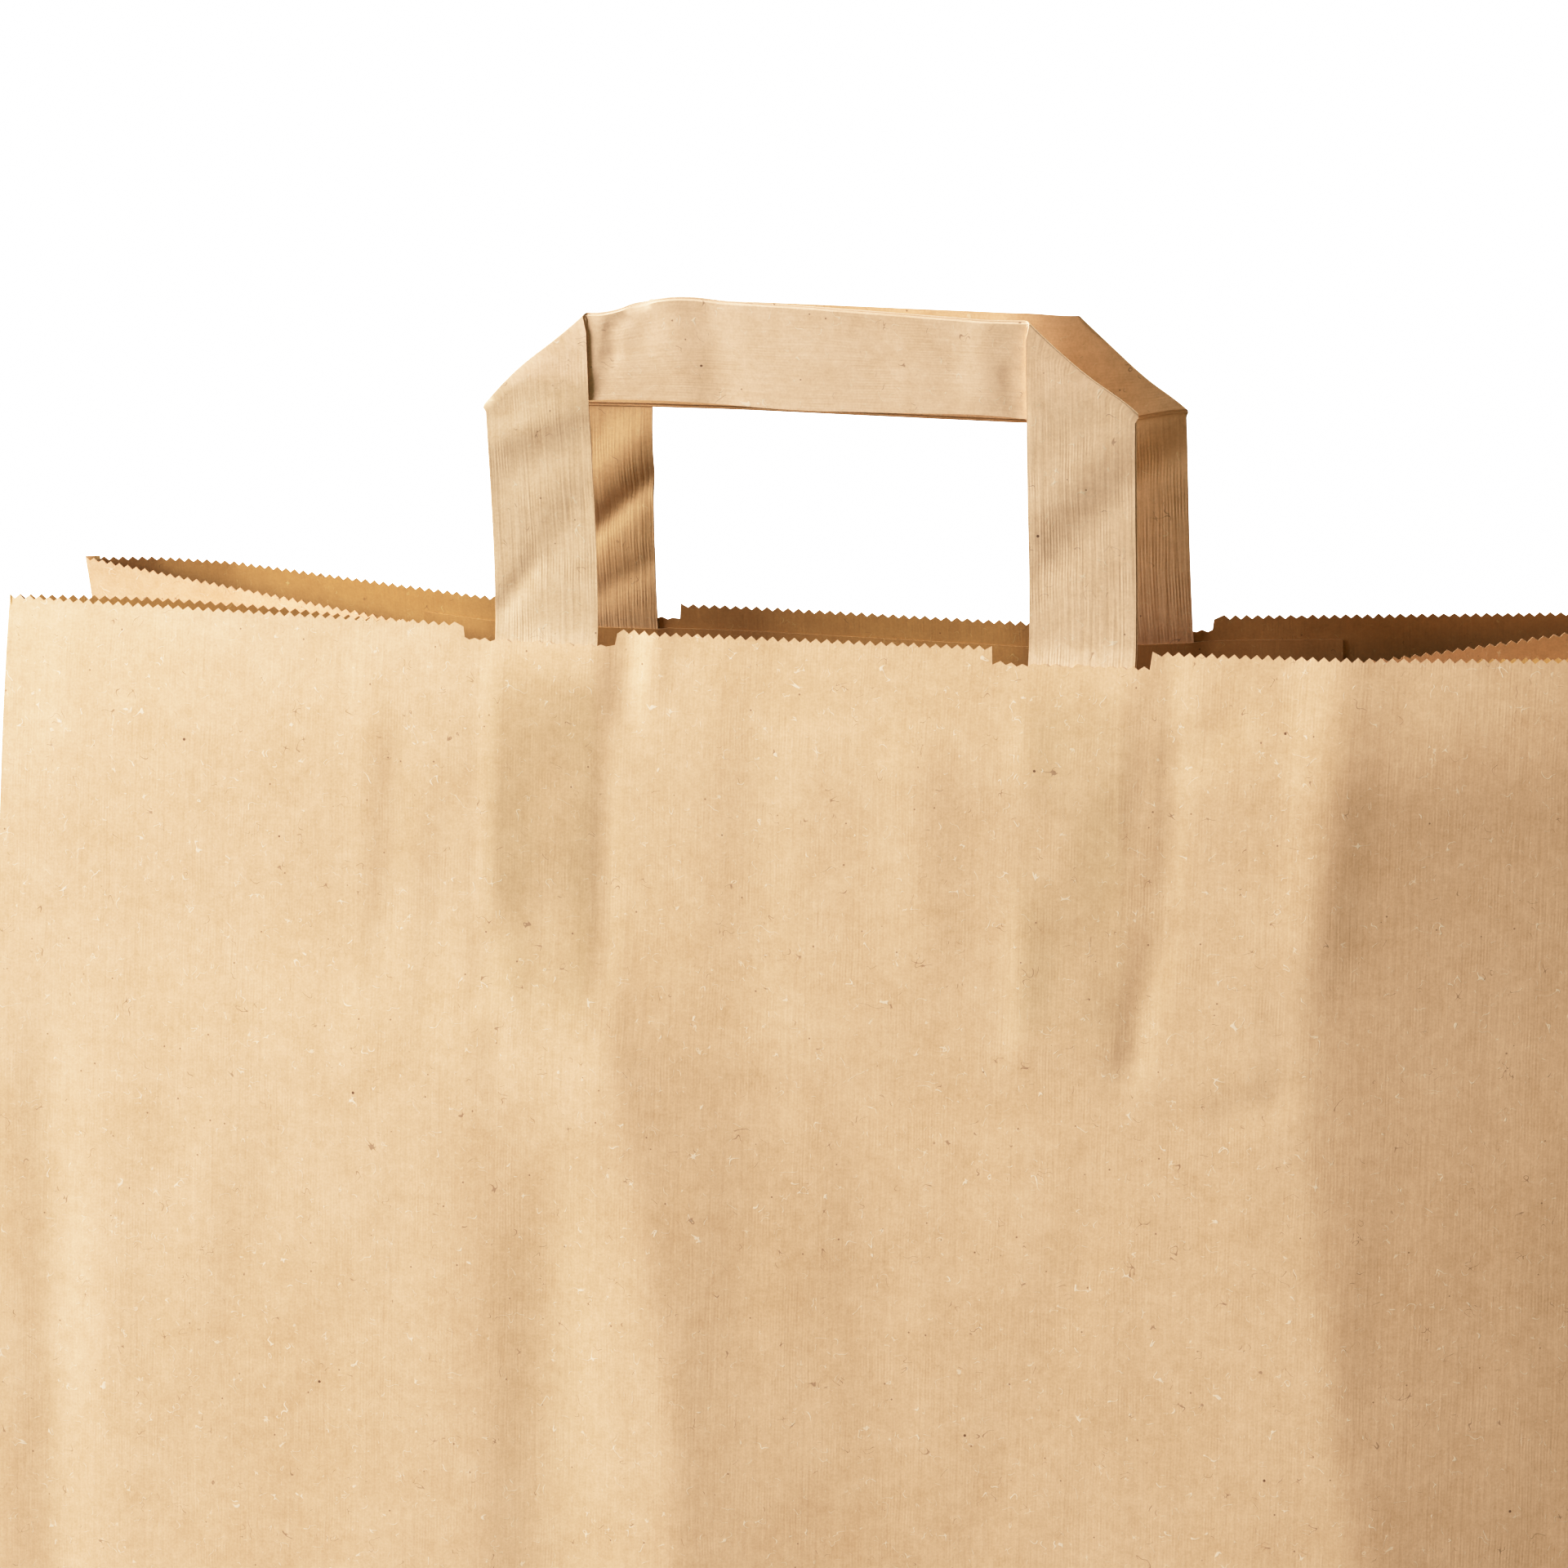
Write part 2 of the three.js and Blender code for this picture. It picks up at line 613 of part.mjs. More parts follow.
// A closed solid through rings of points, capped at both ends.
// Opposite faces are split along the same line, so a twisted strip keeps its thickness.
function lofted(rings, flipped) {
  const sides = rings[0].length;
  const faces = [];
  for (let r = 1; r < rings.length; r += 1) {
    for (let k = 0; k < sides; k += 1) {
      const next = (k + 1) % sides;
      const corner = [(r - 1) * sides + k, (r - 1) * sides + next, r * sides + next, r * sides + k];
      const [a, b, c, d] = k < sides / 2 ? corner : [...corner.slice(1), corner[0]];
      faces.push([a, b, c], [a, c, d]);
    }
  }
  const last = (rings.length - 1) * sides;
  for (let k = 2; k < sides; k += 1) {
    faces.push([0, k, k - 1]);
    faces.push([last, last + k - 1, last + k]);
  }
  const oriented = flipped ? faces.map(([a, b, c]) => [a, c, b]) : faces;
  return geometryOf(rings.flat(), oriented);
}

// The patch lies on the wall and steps up over the two legs
function patch(side) {
  const left = side.handleShift - PATCH_WIDTH / 2;
  const right = side.handleShift + PATCH_WIDTH / 2;
  const columns = panelColumns(side).filter((x) => x >= left && x <= right);
  const rises = ROWS.filter((length) => length >= PATCH_END && length <= PRINT_TOP);
  const lengths = [...rises, PANEL_HEIGHT - PATCH_TOP];
  const overLeg = (x) => legCentres(side).some((centre) => Math.abs(x - centre) <= STRIP_WIDTH / 2 + PROBE);
  const low = LEG_OFFSET;
  const high = LEG_OFFSET + STRIP_THICKNESS + GLUE_GAP;
  const rings = lengths.map((length) => {
    const rowAt = (extra) => columns.map((x) => {
      const depth = (overLeg(x) ? high : low) + extra;
      return layerPoint(side, x, length - PANEL_HEIGHT, depth);
    });
    return { near: rowAt(0), far: rowAt(PAPER) };
  });
  const sheet = new Sheet();
  sheet.grid(rings.map(({ near }) => near));
  sheet.gridFromBehind(rings.map(({ far }) => far));
  sheet.grid([rings[0].far, rings[0].near]);
  sheet.grid([rings[rings.length - 1].near, rings[rings.length - 1].far]);
  for (const spot of [0, columns.length - 1]) {
    const strip = rings.map(({ near, far }) => [far[spot], near[spot]]);
    sheet.grid(spot === 0 ? strip : strip.map(turnedOver));
  }
  const faces = side === FRONT ? sheet.triangles : sheet.triangles.map(([a, b, c]) => [a, c, b]);
  return geometryOf(sheet.points, faces);
}

function piece(name, geometry, color) {
  const mesh = new THREE.Mesh(geometry, kraft(color));
  mesh.name = name;
  return mesh;
}

const group = new THREE.Group();
group.add(piece('bag_body', bagBody(), 0xd8b890));
group.add(piece('front_handle', handle(FRONT), 0xd2b088));
group.add(piece('rear_handle', handle(REAR), 0xc9a376));
group.add(piece('front_handle_patch', patch(FRONT), 0xcfae85));
group.add(piece('rear_handle_patch', patch(REAR), 0xcfae85));

export default group;
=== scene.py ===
"""Looks of the paper carrier bag: kraft sheet, folded handles and patches, with a plain studio."""

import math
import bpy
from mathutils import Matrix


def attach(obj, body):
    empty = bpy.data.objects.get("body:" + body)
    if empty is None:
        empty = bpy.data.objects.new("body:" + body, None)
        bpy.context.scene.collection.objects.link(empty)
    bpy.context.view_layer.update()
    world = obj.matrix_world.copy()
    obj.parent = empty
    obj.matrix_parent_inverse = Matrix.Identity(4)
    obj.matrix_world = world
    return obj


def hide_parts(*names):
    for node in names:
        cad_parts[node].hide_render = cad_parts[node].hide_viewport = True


bl_info = {
    "name": "Paper carrier bag",
    "version": (1, 0, 0),
    "blender": (4, 5, 0),
    "location": "3D View > Sidebar > Paper bag",
    "description": "Folds a kraft carrier bag with flat paper handles from its flat sheets",
    "category": "Mesh",
}

from functools import lru_cache

import bmesh
import bpy
from mathutils import Matrix, Vector, noise

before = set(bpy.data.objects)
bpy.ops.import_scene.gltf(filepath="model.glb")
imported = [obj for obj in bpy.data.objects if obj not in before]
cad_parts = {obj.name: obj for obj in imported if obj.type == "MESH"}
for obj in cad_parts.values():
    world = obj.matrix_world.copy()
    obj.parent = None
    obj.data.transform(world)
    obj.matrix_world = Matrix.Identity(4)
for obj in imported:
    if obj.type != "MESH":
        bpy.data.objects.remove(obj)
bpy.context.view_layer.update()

MM = 0.001

# The sheet, in millimetres
BAG_WIDTH = 320.0
PANEL_HEIGHT = 440.0
HALF_WIDTH = BAG_WIDTH / 2
HALF_GUSSET = 85.0
BAND = 2 * BAG_WIDTH + 4 * HALF_GUSSET
PAPER = 0.15
BASE_Z = 2 * PAPER

# The mouth
MOUTH_DEPTH = 33.0
FRONT_BOW = 8.3
FRONT_BOW_POWER = 2.3
CORNER_PINCH_POWER = 12
REAR_MIDDLE = 4.7
REAR_SAG_START = 0.3
REAR_CORNER_PULL = 4.3
CREASE_DROP = {-1: 6.0, 1: 9.5}
CREASE_FORWARD = 7.4
REAR_LEFT_SLOPE = -0.1
REAR_BENDS = ((-125, -0.26, 9), (-66, 0.39, 7), (-20, -0.105, 9), (38, 0.405, 6), (72, -0.13, 5))
MIDDLE_LEAN = HALF_GUSSET - MOUTH_DEPTH / 2 - FRONT_BOW
RISE_PER_LENGTH = math.sqrt(1 - (MIDDLE_LEAN / PANEL_HEIGHT) ** 2)
LEAN_ANGLE = math.asin(MIDDLE_LEAN / PANEL_HEIGHT)

# The saw-cut rim
PANEL_TEETH = 156
HALF_GUSSET_TEETH = 21
TOOTH_PITCH = BAG_WIDTH / PANEL_TEETH
NOTCH_WIDTH = 29.5
NOTCH_PITCH = 101.0
NOTCH_DEPTH = 2.8
NOTCH_SLANT = 0.12
NOTCH_CUT = 0.15
NOTCH_TOOTH_SHARE = 0.45
RIM_STRIP = 4.6
RIM_TOUCH = 0.01

# The handles, the patches and how they show through the panels
STRIP_HALF = 9.9
STRIP_THICKNESS = 0.5
LEG_PITCH = 101.5
LEG_DEPTH = 74.0
LEG_OFFSET = PAPER + 0.1
GLUE_GAP = 0.1
HANDLE_LEAN_OUT = math.radians(2)
HANDLE_BEND_HEIGHT = 20.0
PATCH_WIDTH = 177.0
PATCH_TOP = 5.0
PATCH_BOTTOM = 83.0
PATCH_COLUMNS = 118
PATCH_ROWS = 26
PRINT_TOP = 2.5
PRINT_FADE = 6.0
UNEVEN_PRINT = 70.0
FOLD_ROOM = 4.0
FOLD_FLAT = 0.6
FOLD_FAN = 9
FOLD_TURNS = 10
STRIP_STEP = 1.1
STRIP_COLUMNS = 18

# The front panel's wide forms, by their drop below the rim
FORM_FOOT = 430.0
RIDGE_ROUND = 4.0
RIDGE_PLACE = 87.5
RIDGE_DRIFT = 0.02
RIDGE_CURVE = 0.00047
RIDGE_SWING = 9.8
RIDGE_SWING_END = 85.0
RIDGE_SWING_RUN = 70.0
RIDGE_AT_RIM = 0.42
RIDGE_RISE_RUN = 45.0
RIDGE_FOOT_RUN = 230.0
CREST_ROUND = 3.0
CREST_FADE = 40.0
CREST_PLACE = -38.0
CREST_SWING = 15.5
CREST_TOP = 50.0
CREST_SWING_RUN = 120.0
CREST_TOP_SLOPE = 0.6
CREST_RISE_RUN = 36.0
CREST_FOOT_RUN = 200.0

# The seam and the bottom flaps
SEAM_LEFT = -150.0
SEAM_RIGHT = -130.0
SEAM_RISE = 0.22
SEAM_EDGE = 0.8
FRONT_FLAP_REACH = 90.0
REAR_FLAP_REACH = 104.0
FLAP_INSET = 0.1

# Soft waves of the panels: length across, length along, place in the noise, and height
PANEL_WAVES = ((46, 120, 0, 0.4), (13, 34, 5, 0.17), (6.5, 15, 9, 0.06))

# The paper's finish, in metres
RIB_PITCH = 0.00056
PULP_RELIEF = 0.00016

# Shading below these angles looks smooth
SHEET_SMOOTH = 28
STRIP_SMOOTH = 35

# The studio, in metres
LIT_PLACE = Vector((-0.04, -0.02, 0.45))
WINDOW_SPREAD = math.radians(80)
WINDOW_PLACE = (-1.43, -0.54, 1.15)
WINDOW_TINT = (0.94, 0.925, 1.0)
BACK_PLACE = (1.1, 1.7, 1.2)
BACK_TINT = (1.0, 0.97, 0.92)
LIGHT_SIZE = 1.2
ROOM_TINT = (1.0, 0.92, 0.46)
FLOOR_SIZE = 24
FLOOR_PLACE = (0, 3, -0.0002)
SHADOW_REACH = (0.35, 1.1)
CAMERA_PLACE = (0.2456, -1.1751, 0.7230)
CAMERA_TURN = 12.38
CAMERA_TILT = 75
CAMERA_ROLL = -0.72
CAMERA_LENS = 150
CAMERA_SENSOR = 36
TONE_WHITE = 3.0
TONE_POINTS = (
    (0.05, 0.037), (0.1, 0.081), (0.2, 0.187), (0.35, 0.352), (0.5, 0.51), (0.7, 0.675),
    (0.9, 0.795), (1.2, 0.905), (1.6, 0.965), (2.2, 0.992),
)


class Side:
    """One of the two panels, with the handle that is glued to it"""

    def __init__(
        self, name, inward, noise_place, notch_shift, handle_shift, handle_rise, creases, nudges
    ):
        self.name = name
        self.inward = inward
        self.noise_place = noise_place
        self.notch_shift = notch_shift
        self.handle_shift = handle_shift
        self.handle_rise = handle_rise
        self.creases = creases
        self.nudges = nudges
        self.legs = (handle_shift - LEG_PITCH / 2, handle_shift + LEG_PITCH / 2)


# Soft creases: start and end as (across, rise above the rim), half-width, and height outwards.
# Those above the rim shape the handle's strip.
FRONT_CREASES = (
    ((-37, 4), (-34.5, -17), 3.2, -0.75),
    ((-29, 3), (-33.0, -15), 2.4, 0.35),
    ((66.0, 0), (68.0, -22), 2.6, -0.36),
    ((68.0, -26), (66.5, -46), 2.4, -0.36),
    ((66.0, -52), (60.5, -78), 3.0, -0.45),
    ((-39.5, -26), (-38.5, -66), 1.8, -0.25),
    ((-62, -60), (-59, -84), 2.4, -0.25),
    ((-49, -112), (-47, -225), 11.0, -1.15),
    ((-46, -20), (-46, -76), 19.0, -0.7),
    ((-150, -90), (-147, -210), 6.5, -0.7),
    ((97, -4), (93, -56), 7.0, 0.65),
    ((66, -22), (80, -10), 4.0, -0.35),
    ((20, -20), (24, -60), 6.0, 0.35),
    ((-10, -14), (-12, -70), 7.0, -0.3),
    ((-80, -24), (-83, -66), 4.5, -0.35),
    ((-71, -36), (-74, -80), 4.0, -0.2),
    ((78, -84), (91, -79), 3.0, -0.35),
    ((41, 13), (60, 32), 4.5, -0.3),
    ((41, 24), (60, 43), 5.0, 0.25),
    ((40, 21), (43, 17), 1.4, 0.2),
    ((-61, 35), (-42, 43), 2.8, 0.3),
    ((-61, 27), (-43, 36), 4.0, -0.3),
    ((-52, 12), (-44, 26), 4.0, -0.3),
    ((-61, 2), (-54, 12), 1.8, -0.4),
    ((-31.5, 62.5), (-38.0, 57.0), 1.1, -0.3),
    ((-38.0, 57.5), (-38.2, 51.5), 1.0, -0.26),
    ((-38.2, 52), (-41.5, 44.5), 1.1, -0.28),
    ((-41, 58), (-41, 48), 1.7, 0.12),
    ((-30, 61), (-34, 53), 3.2, -0.25),
    ((-20, 63), (-17, 42), 5.0, -0.35),
    ((36.4, 51), (39.0, 42), 1.4, -0.35),
    ((32, 60), (31, 44), 4.0, 0.3),
)
REAR_CREASES = (
    ((-52, 10), (-34, 26), 2.3, 1.15),
    ((-52, 19), (-35, 35), 4.2, -0.8),
    ((-48, 1), (-35, 9), 2.4, 0.5),
    ((46, 22), (66, 33), 3.4, 0.7),
    ((46, 30), (66, 41), 3.4, -0.5),
    ((-127, 2), (-124, -40), 3.0, 0.5),
    ((-70, -80), (-60, -200), 9.0, -0.8),
    ((70, -84), (78, -200), 9.0, -0.8),
    ((0, -70), (10, -180), 10.0, 0.7),
)
# Small shifts of a strip's corner in its own plane: place, reach, and the shift
FRONT_NUDGES = (
    ((-16.0, 62.0), (26.0, 12.0), (0.0, 0.6)),
    ((38.0, 62.0), (40.0, 14.0), (0.0, -1.3)),
    ((-36.0, 41.7), (40.0, 15.0), (0.0, 2.5)),
    ((10.0, 41.7), (44.0, 15.0), (0.0, 1.3)),
    ((-42.0, 62.0), (24.0, 30.0), (0.0, -2.3)),
    ((-28.0, 62.0), (12.0, 14.0), (0.0, 1.4)),
    ((34.0, 41.7), (24.0, 15.0), (0.0, 0.8)),
    ((-61.0, 42.0), (16.0, 20.0), (-0.1, -0.9)),
    ((60.0, 42.0), (13.0, 16.0), (0.2, 2.2)),
    ((-52.0, 60.0), (30.0, 80.0), (-1.7, 0.0)),
    ((50.0, 45.0), (24.0, 60.0), (-0.8, 0.0)),
)
REAR_NUDGES = (
    ((66.0, 39.0), (10.0, 12.0), (-0.2, 1.2)),
    ((56.0, 45.0), (30.0, 60.0), (-1.6, 0.0)),
    ((46.0, 58.0), (10.0, 10.0), (0.3, -0.6)),
)

FRONT = Side("front", 1, 3.7, -2.5, -0.8, 61.5, FRONT_CREASES, FRONT_NUDGES)
REAR = Side("rear", -1, 41.3, 4.5, 5.2, 58.0, REAR_CREASES, REAR_NUDGES)

# Layers of a folded strip: near and far depth, and how far its outer and inner edges reach
STRIP_LAYERS = (
    (0.0, 0.145, 0.0, 0.0),
    (0.175, 0.32, -0.28, -0.12),
    (0.35, 0.5, 0.22, -0.05),
)


def clamp(value, low=0.0, high=1.0):
    return max(low, min(high, value))


def smooth(value):
    value = clamp(value)
    return value * value * (3 - 2 * value)


def lerp(start, end, share):
    return start + (end - start) * share


def evenly(start, run, count):
    """Places in equal steps along a run, with both of its ends"""
    return [start + run * i / count for i in range(count + 1)]


# The form of the standing bag


def soft_bend(x, at, soft):
    """A straight run that starts at a place, with a soft start"""
    ahead = x - at
    if ahead <= -soft:
        return 0.0
    if ahead >= soft:
        return ahead
    return (ahead + soft) ** 2 / (4 * soft)


def rear_plan_raw(x):
    bends = sum(turn * soft_bend(x, at, soft) for at, turn, soft in REAR_BENDS)
    return REAR_LEFT_SLOPE * x + bends


REAR_PLAN_START = rear_plan_raw(0.0)


def rear_plan(x):
    """How far the rear rim stands behind the line of the mouth's middle"""
    return rear_plan_raw(x) - REAR_PLAN_START - REAR_MIDDLE


def bow_at(x):
    """How far the rim bows in towards the corners"""
    return FRONT_BOW * abs(x / HALF_WIDTH) ** FRONT_BOW_POWER


@lru_cache(maxsize=1)
def relief():
    """The settings that shape the sheet, in millimetres"""
    sizes = bpy.context.scene.paper_bag
    names = (
        "tooth_depth", "leg_print", "patch_print", "wave_height", "ridge_height", "hollow_depth",
    )
    return {name: getattr(sizes, name) / MM for name in names}


def leg_print(side, x, length):
    """The relief that a glued leg and the patch over it give the panel"""
    sizes = relief()
    across = min(abs(x - centre) for centre in side.legs)
    beside = smooth(1 - (across - STRIP_HALF) / 1.9)
    below = smooth(1 + (length - (PANEL_HEIGHT - LEG_DEPTH)) / 2.5)
    above = clamp((PANEL_HEIGHT - PRINT_TOP - length) / PRINT_FADE)
    leg = beside * below * above
    if side is FRONT and length > PANEL_HEIGHT - UNEVEN_PRINT:
        leg *= clamp(0.7 + 1.3 * noise.noise(Vector((x / 16, length / 26, 17.0))))
    sheet_across = PATCH_WIDTH / 2 - abs(x - side.handle_shift)
    sheet_up = min(length - (PANEL_HEIGHT - PATCH_BOTTOM), PANEL_HEIGHT - PRINT_TOP - length)
    patch = smooth(sheet_across / 2.5) * smooth(sheet_up / 3.0)
    return sizes["leg_print"] * leg + sizes["patch_print"] * patch


def crease_height(side, x, rise):
    """The sum of the soft creases at a place of the panel or of its handle"""
    total = 0.0
    for (x0, r0), (x1, r1), half_width, height in side.creases:
        along_x, along_r = x1 - x0, r1 - r0
        run = along_x * along_x + along_r * along_r
        share = ((x - x0) * along_x + (rise - r0) * along_r) / run
        if not -0.25 < share < 1.25:
            continue
        away = abs((x - x0) * along_r - (rise - r0) * along_x) / math.sqrt(run)
        if away > 3 * half_width:
            continue
        ends = smooth((share + 0.25) / 0.35) * smooth((1.25 - share) / 0.45)
        total += height * math.exp(-((away / half_width) ** 2)) * ends
    return total


def sway(side, x, length):
    """Soft waves and creases of the paper, outwards, in millimetres"""
    rise = length - PANEL_HEIGHT
    waves = sum(
        height * noise.noise(Vector((x / across, length / along, side.noise_place + place)))
        for across, along, place, height in PANEL_WAVES
    )
    in_print = smooth((PATCH_BOTTOM + 12 + rise) / 20)
    calm = lerp(1.0, 0.5, in_print)
    foot = smooth(length / 40)
    edge = smooth((HALF_WIDTH - abs(x)) / 6)
    strength = relief()["wave_height"]
    return (strength * waves * calm * lerp(0.25, 1.0, edge) + crease_height(side, x, rise)) * foot


def ridge_x(drop):
    """Where the upright fold stands, at a drop below the rim"""
    swing = RIDGE_SWING * smooth((RIDGE_SWING_END - drop) / RIDGE_SWING_RUN)
    return RIDGE_PLACE + RIDGE_DRIFT * drop + RIDGE_CURVE * drop * drop + swing


def panel_form(x, length):
    """The front panel's wide forms: an upright fold, and a crest that falls away to its right"""
    drop = PANEL_HEIGHT - length
    peak = ridge_x(drop)
    run = HALF_WIDTH + peak if x < peak else HALF_WIDTH - peak
    tent = clamp(1 - (math.hypot(x - peak, RIDGE_ROUND) - RIDGE_ROUND) / run)
    foot = FORM_FOOT - drop
    ridge = tent * smooth(RIDGE_AT_RIM + drop / RIDGE_RISE_RUN) * smooth(foot / RIDGE_FOOT_RUN)
    crest = CREST_PLACE + CREST_SWING * smooth((drop - CREST_TOP) / CREST_SWING_RUN)
    left = (x + HALF_WIDTH) / (crest + HALF_WIDTH)
    forward = clamp(left) * math.exp(-soft_bend(x, crest, CREST_ROUND) / CREST_FADE)
    onset = CREST_TOP + CREST_TOP_SLOPE * max(x - CREST_PLACE, 0)
    step = forward * smooth((drop - onset) / CREST_RISE_RUN) * smooth(foot / CREST_FOOT_RUN)
    return relief()["ridge_height"] * ridge + relief()["hollow_depth"] * step


def height_at(length):
    return BASE_Z + length * RISE_PER_LENGTH


def seam_step(x):
    """The second layer of the sheet where its two ends are glued"""
    inside = min(x - SEAM_LEFT, SEAM_RIGHT - x)
    return SEAM_RISE * smooth(inside / SEAM_EDGE + 0.5)


def panel_point(side, x, length):
    """A point of a panel's outer face, by its place across and its length up the sheet"""
    share = length / PANEL_HEIGHT
    half = HALF_GUSSET - MIDDLE_LEAN * share - bow_at(x) * share ** CORNER_PINCH_POWER
    half += leg_print(side, x, length) + sway(side, x, length)
    if side is FRONT:
        return Vector((x, -half - panel_form(x, length), height_at(length)))
    half += seam_step(x) * smooth(length / 20)
    sag_share = smooth((share - REAR_SAG_START) / (1 - REAR_SAG_START))
    pull = REAR_CORNER_PULL * (x / HALF_WIDTH) ** 4 * sag_share
    rim_half = HALF_GUSSET - MIDDLE_LEAN - bow_at(x)
    sag = max(rim_half - rear_plan(x), 0) * sag_share
    return Vector((x - math.copysign(pull, x), half - sag, height_at(length)))


def sheet_point(side, x, rise):
    """The same sheet carried on above the rim, bending to the handle's own lean"""
    if rise <= 0:
        return panel_point(side, x, PANEL_HEIGHT + rise)
    point = panel_point(side, x, PANEL_HEIGHT)
    turn = (LEAN_ANGLE + HANDLE_LEAN_OUT) / HANDLE_BEND_HEIGHT
    bent = min(rise, HANDLE_BEND_HEIGHT)
    straight = rise - bent
    end_angle = LEAN_ANGLE - turn * bent
    run = (math.cos(end_angle) - math.cos(LEAN_ANGLE)) / turn + straight * math.sin(end_angle)
    point.y += side.inward * run
    point.z += (math.sin(LEAN_ANGLE) - math.sin(end_angle)) / turn + straight * math.cos(end_angle)
    held = sway(side, x, PANEL_HEIGHT)
    point.y -= side.inward * (sway(side, x, PANEL_HEIGHT + rise) - held)
    return point


def layer_point(side, x, rise, depth):
    """A point at a depth below the sheet's outer face, towards the inside of the bag"""
    probe = 0.08
    point = sheet_point(side, x, rise)
    across = sheet_point(side, x + probe, rise) - point
    up = sheet_point(side, x, rise - probe) - point
    normal = up.cross(across).normalized()
    return point - normal * side.inward * depth


def apex_fold():
    """How far the tip of the bottom's triangle stands below the gusset's edges"""
    edge_half = HALF_GUSSET - MIDDLE_LEAN * HALF_GUSSET / PANEL_HEIGHT
    edge_height = HALF_GUSSET * RISE_PER_LENGTH
    height = (edge_half**2 + edge_height**2) / (2 * edge_height)
    return edge_height - height


@lru_cache(maxsize=None)
def corner(side, hand, length):
    """A point of an upright corner fold"""
    return panel_point(side, hand * HALF_WIDTH, length).freeze()


@lru_cache(maxsize=None)
def crease_point(hand, length):
    """A point of the gusset's standing crease"""
    front = corner(FRONT, hand, length)
    rear = corner(REAR, hand, length)
    share = (length - HALF_GUSSET) / (PANEL_HEIGHT - HALF_GUSSET)
    drop = lerp(apex_fold(), CREASE_DROP[hand], smooth(share))
    forward = CREASE_FORWARD * smooth(share)
    half = (front - rear).length / 2
    inset = math.sqrt(HALF_GUSSET**2 - half**2 - drop**2)
    return ((front + rear) / 2 + Vector((-hand * inset, -forward, -drop))).freeze()


def gusset_wave(side, hand, inward, length):
    """A slight curl of a gusset half, with none along its folds"""
    bulge = math.sin(math.pi * clamp(inward / HALF_GUSSET))
    seed = 11.0 if side is FRONT else 23.0
    wave = noise.noise(Vector((inward / 30, length / 70, seed + hand)))
    return bulge * (0.9 * wave + 0.2) * smooth((length - HALF_GUSSET) / 60)


def gusset_point(side, hand, inward, length):
    """A point of one gusset half, by its place in from the corner edge and its length up"""
    if length >= HALF_GUSSET:
        point = corner(side, hand, length).lerp(crease_point(hand, length), inward / HALF_GUSSET)
        point.y += side.inward * gusset_wave(side, hand, inward, length)
        if side is FRONT:
            arch = math.sin(math.pi * inward / HALF_GUSSET) * smooth((length - 300) / 140)
            point += Vector((0, 0.8, 1.7)) * arch
        return point
    foot = corner(side, hand, 0)
    apex = crease_point(hand, HALF_GUSSET)
    if inward <= length:
        edge = corner(side, hand, HALF_GUSSET) - foot
        up_edge = edge * ((length - inward) / HALF_GUSSET)
        return foot + up_edge + (apex - foot) * (inward / HALF_GUSSET)
    middle = Vector((foot.x, 0, foot.z))
    along_base = (middle - foot) * ((inward - length) / HALF_GUSSET)
    return foot + along_base + (apex - foot) * (length / HALF_GUSSET)


def band_point(u, length):
    """The folded place of a point of the flat band: front, gusset, rear, gusset"""
    u = clamp(u, 0.0, BAND)
    if u <= BAG_WIDTH:
        return panel_point(FRONT, u - HALF_WIDTH, length)
    u -= BAG_WIDTH
    if u <= HALF_GUSSET:
        return gusset_point(FRONT, 1, u, length)
    if u < 2 * HALF_GUSSET:
        return gusset_point(REAR, 1, 2 * HALF_GUSSET - u, length)
    u -= 2 * HALF_GUSSET
    if u <= BAG_WIDTH:
        return panel_point(REAR, HALF_WIDTH - u, length)
    u -= BAG_WIDTH
    if u <= HALF_GUSSET:
        return gusset_point(REAR, -1, u, length)
    return gusset_point(FRONT, -1, 2 * HALF_GUSSET - u, length)


# The flat cutting pattern of the rim


def notch_at(side, x):
    """How deep the rim is cut back for the handle's legs"""
    across = abs(abs(x - side.notch_shift) - NOTCH_PITCH / 2)
    return NOTCH_DEPTH * clamp((NOTCH_WIDTH / 2 - across) / NOTCH_SLANT)


def notch_ends():
    """Places along the band where a notch begins or ends"""
    rear_middle = BAG_WIDTH + 2 * HALF_GUSSET + HALF_WIDTH
    for side, start, run in ((FRONT, HALF_WIDTH, 1), (REAR, rear_middle, -1)):
        for pitch in (-NOTCH_PITCH / 2, NOTCH_PITCH / 2):
            for half in (-NOTCH_WIDTH / 2, NOTCH_WIDTH / 2):
                yield start + run * (side.notch_shift + pitch + half)


def rim_length(u, valley):
    """How far up the sheet the cut rim reaches at a place along the band"""
    depth = relief()["tooth_depth"]
    torn = noise.noise(Vector((u * 0.9, 7.1, 0.0))) * 0.14
    notch = 0.0
    if u <= BAG_WIDTH:
        notch = notch_at(FRONT, u - HALF_WIDTH)
    elif BAG_WIDTH + 2 * HALF_GUSSET <= u <= 2 * BAG_WIDTH + 2 * HALF_GUSSET:
        notch = notch_at(REAR, HALF_WIDTH - (u - BAG_WIDTH - 2 * HALF_GUSSET))
    if notch > 0.6 * NOTCH_DEPTH:
        torn = noise.noise(Vector((u * 1.7, 2.3, 0.0))) * 0.45
        depth *= NOTCH_TOOTH_SHARE
    return PANEL_HEIGHT - notch - (depth if valley else 0.0) + torn


# Modelling helpers


def deselect_all():
    if bpy.context.object and bpy.context.object.mode != "OBJECT":
        bpy.ops.object.mode_set(mode="OBJECT")
    bpy.ops.object.select_all(action="DESELECT")


def select_only(*parts):
    """Selects these objects alone, with the first one active"""
    deselect_all()
    for part in parts:
        part.select_set(True)
    bpy.context.view_layer.objects.active = parts[0]


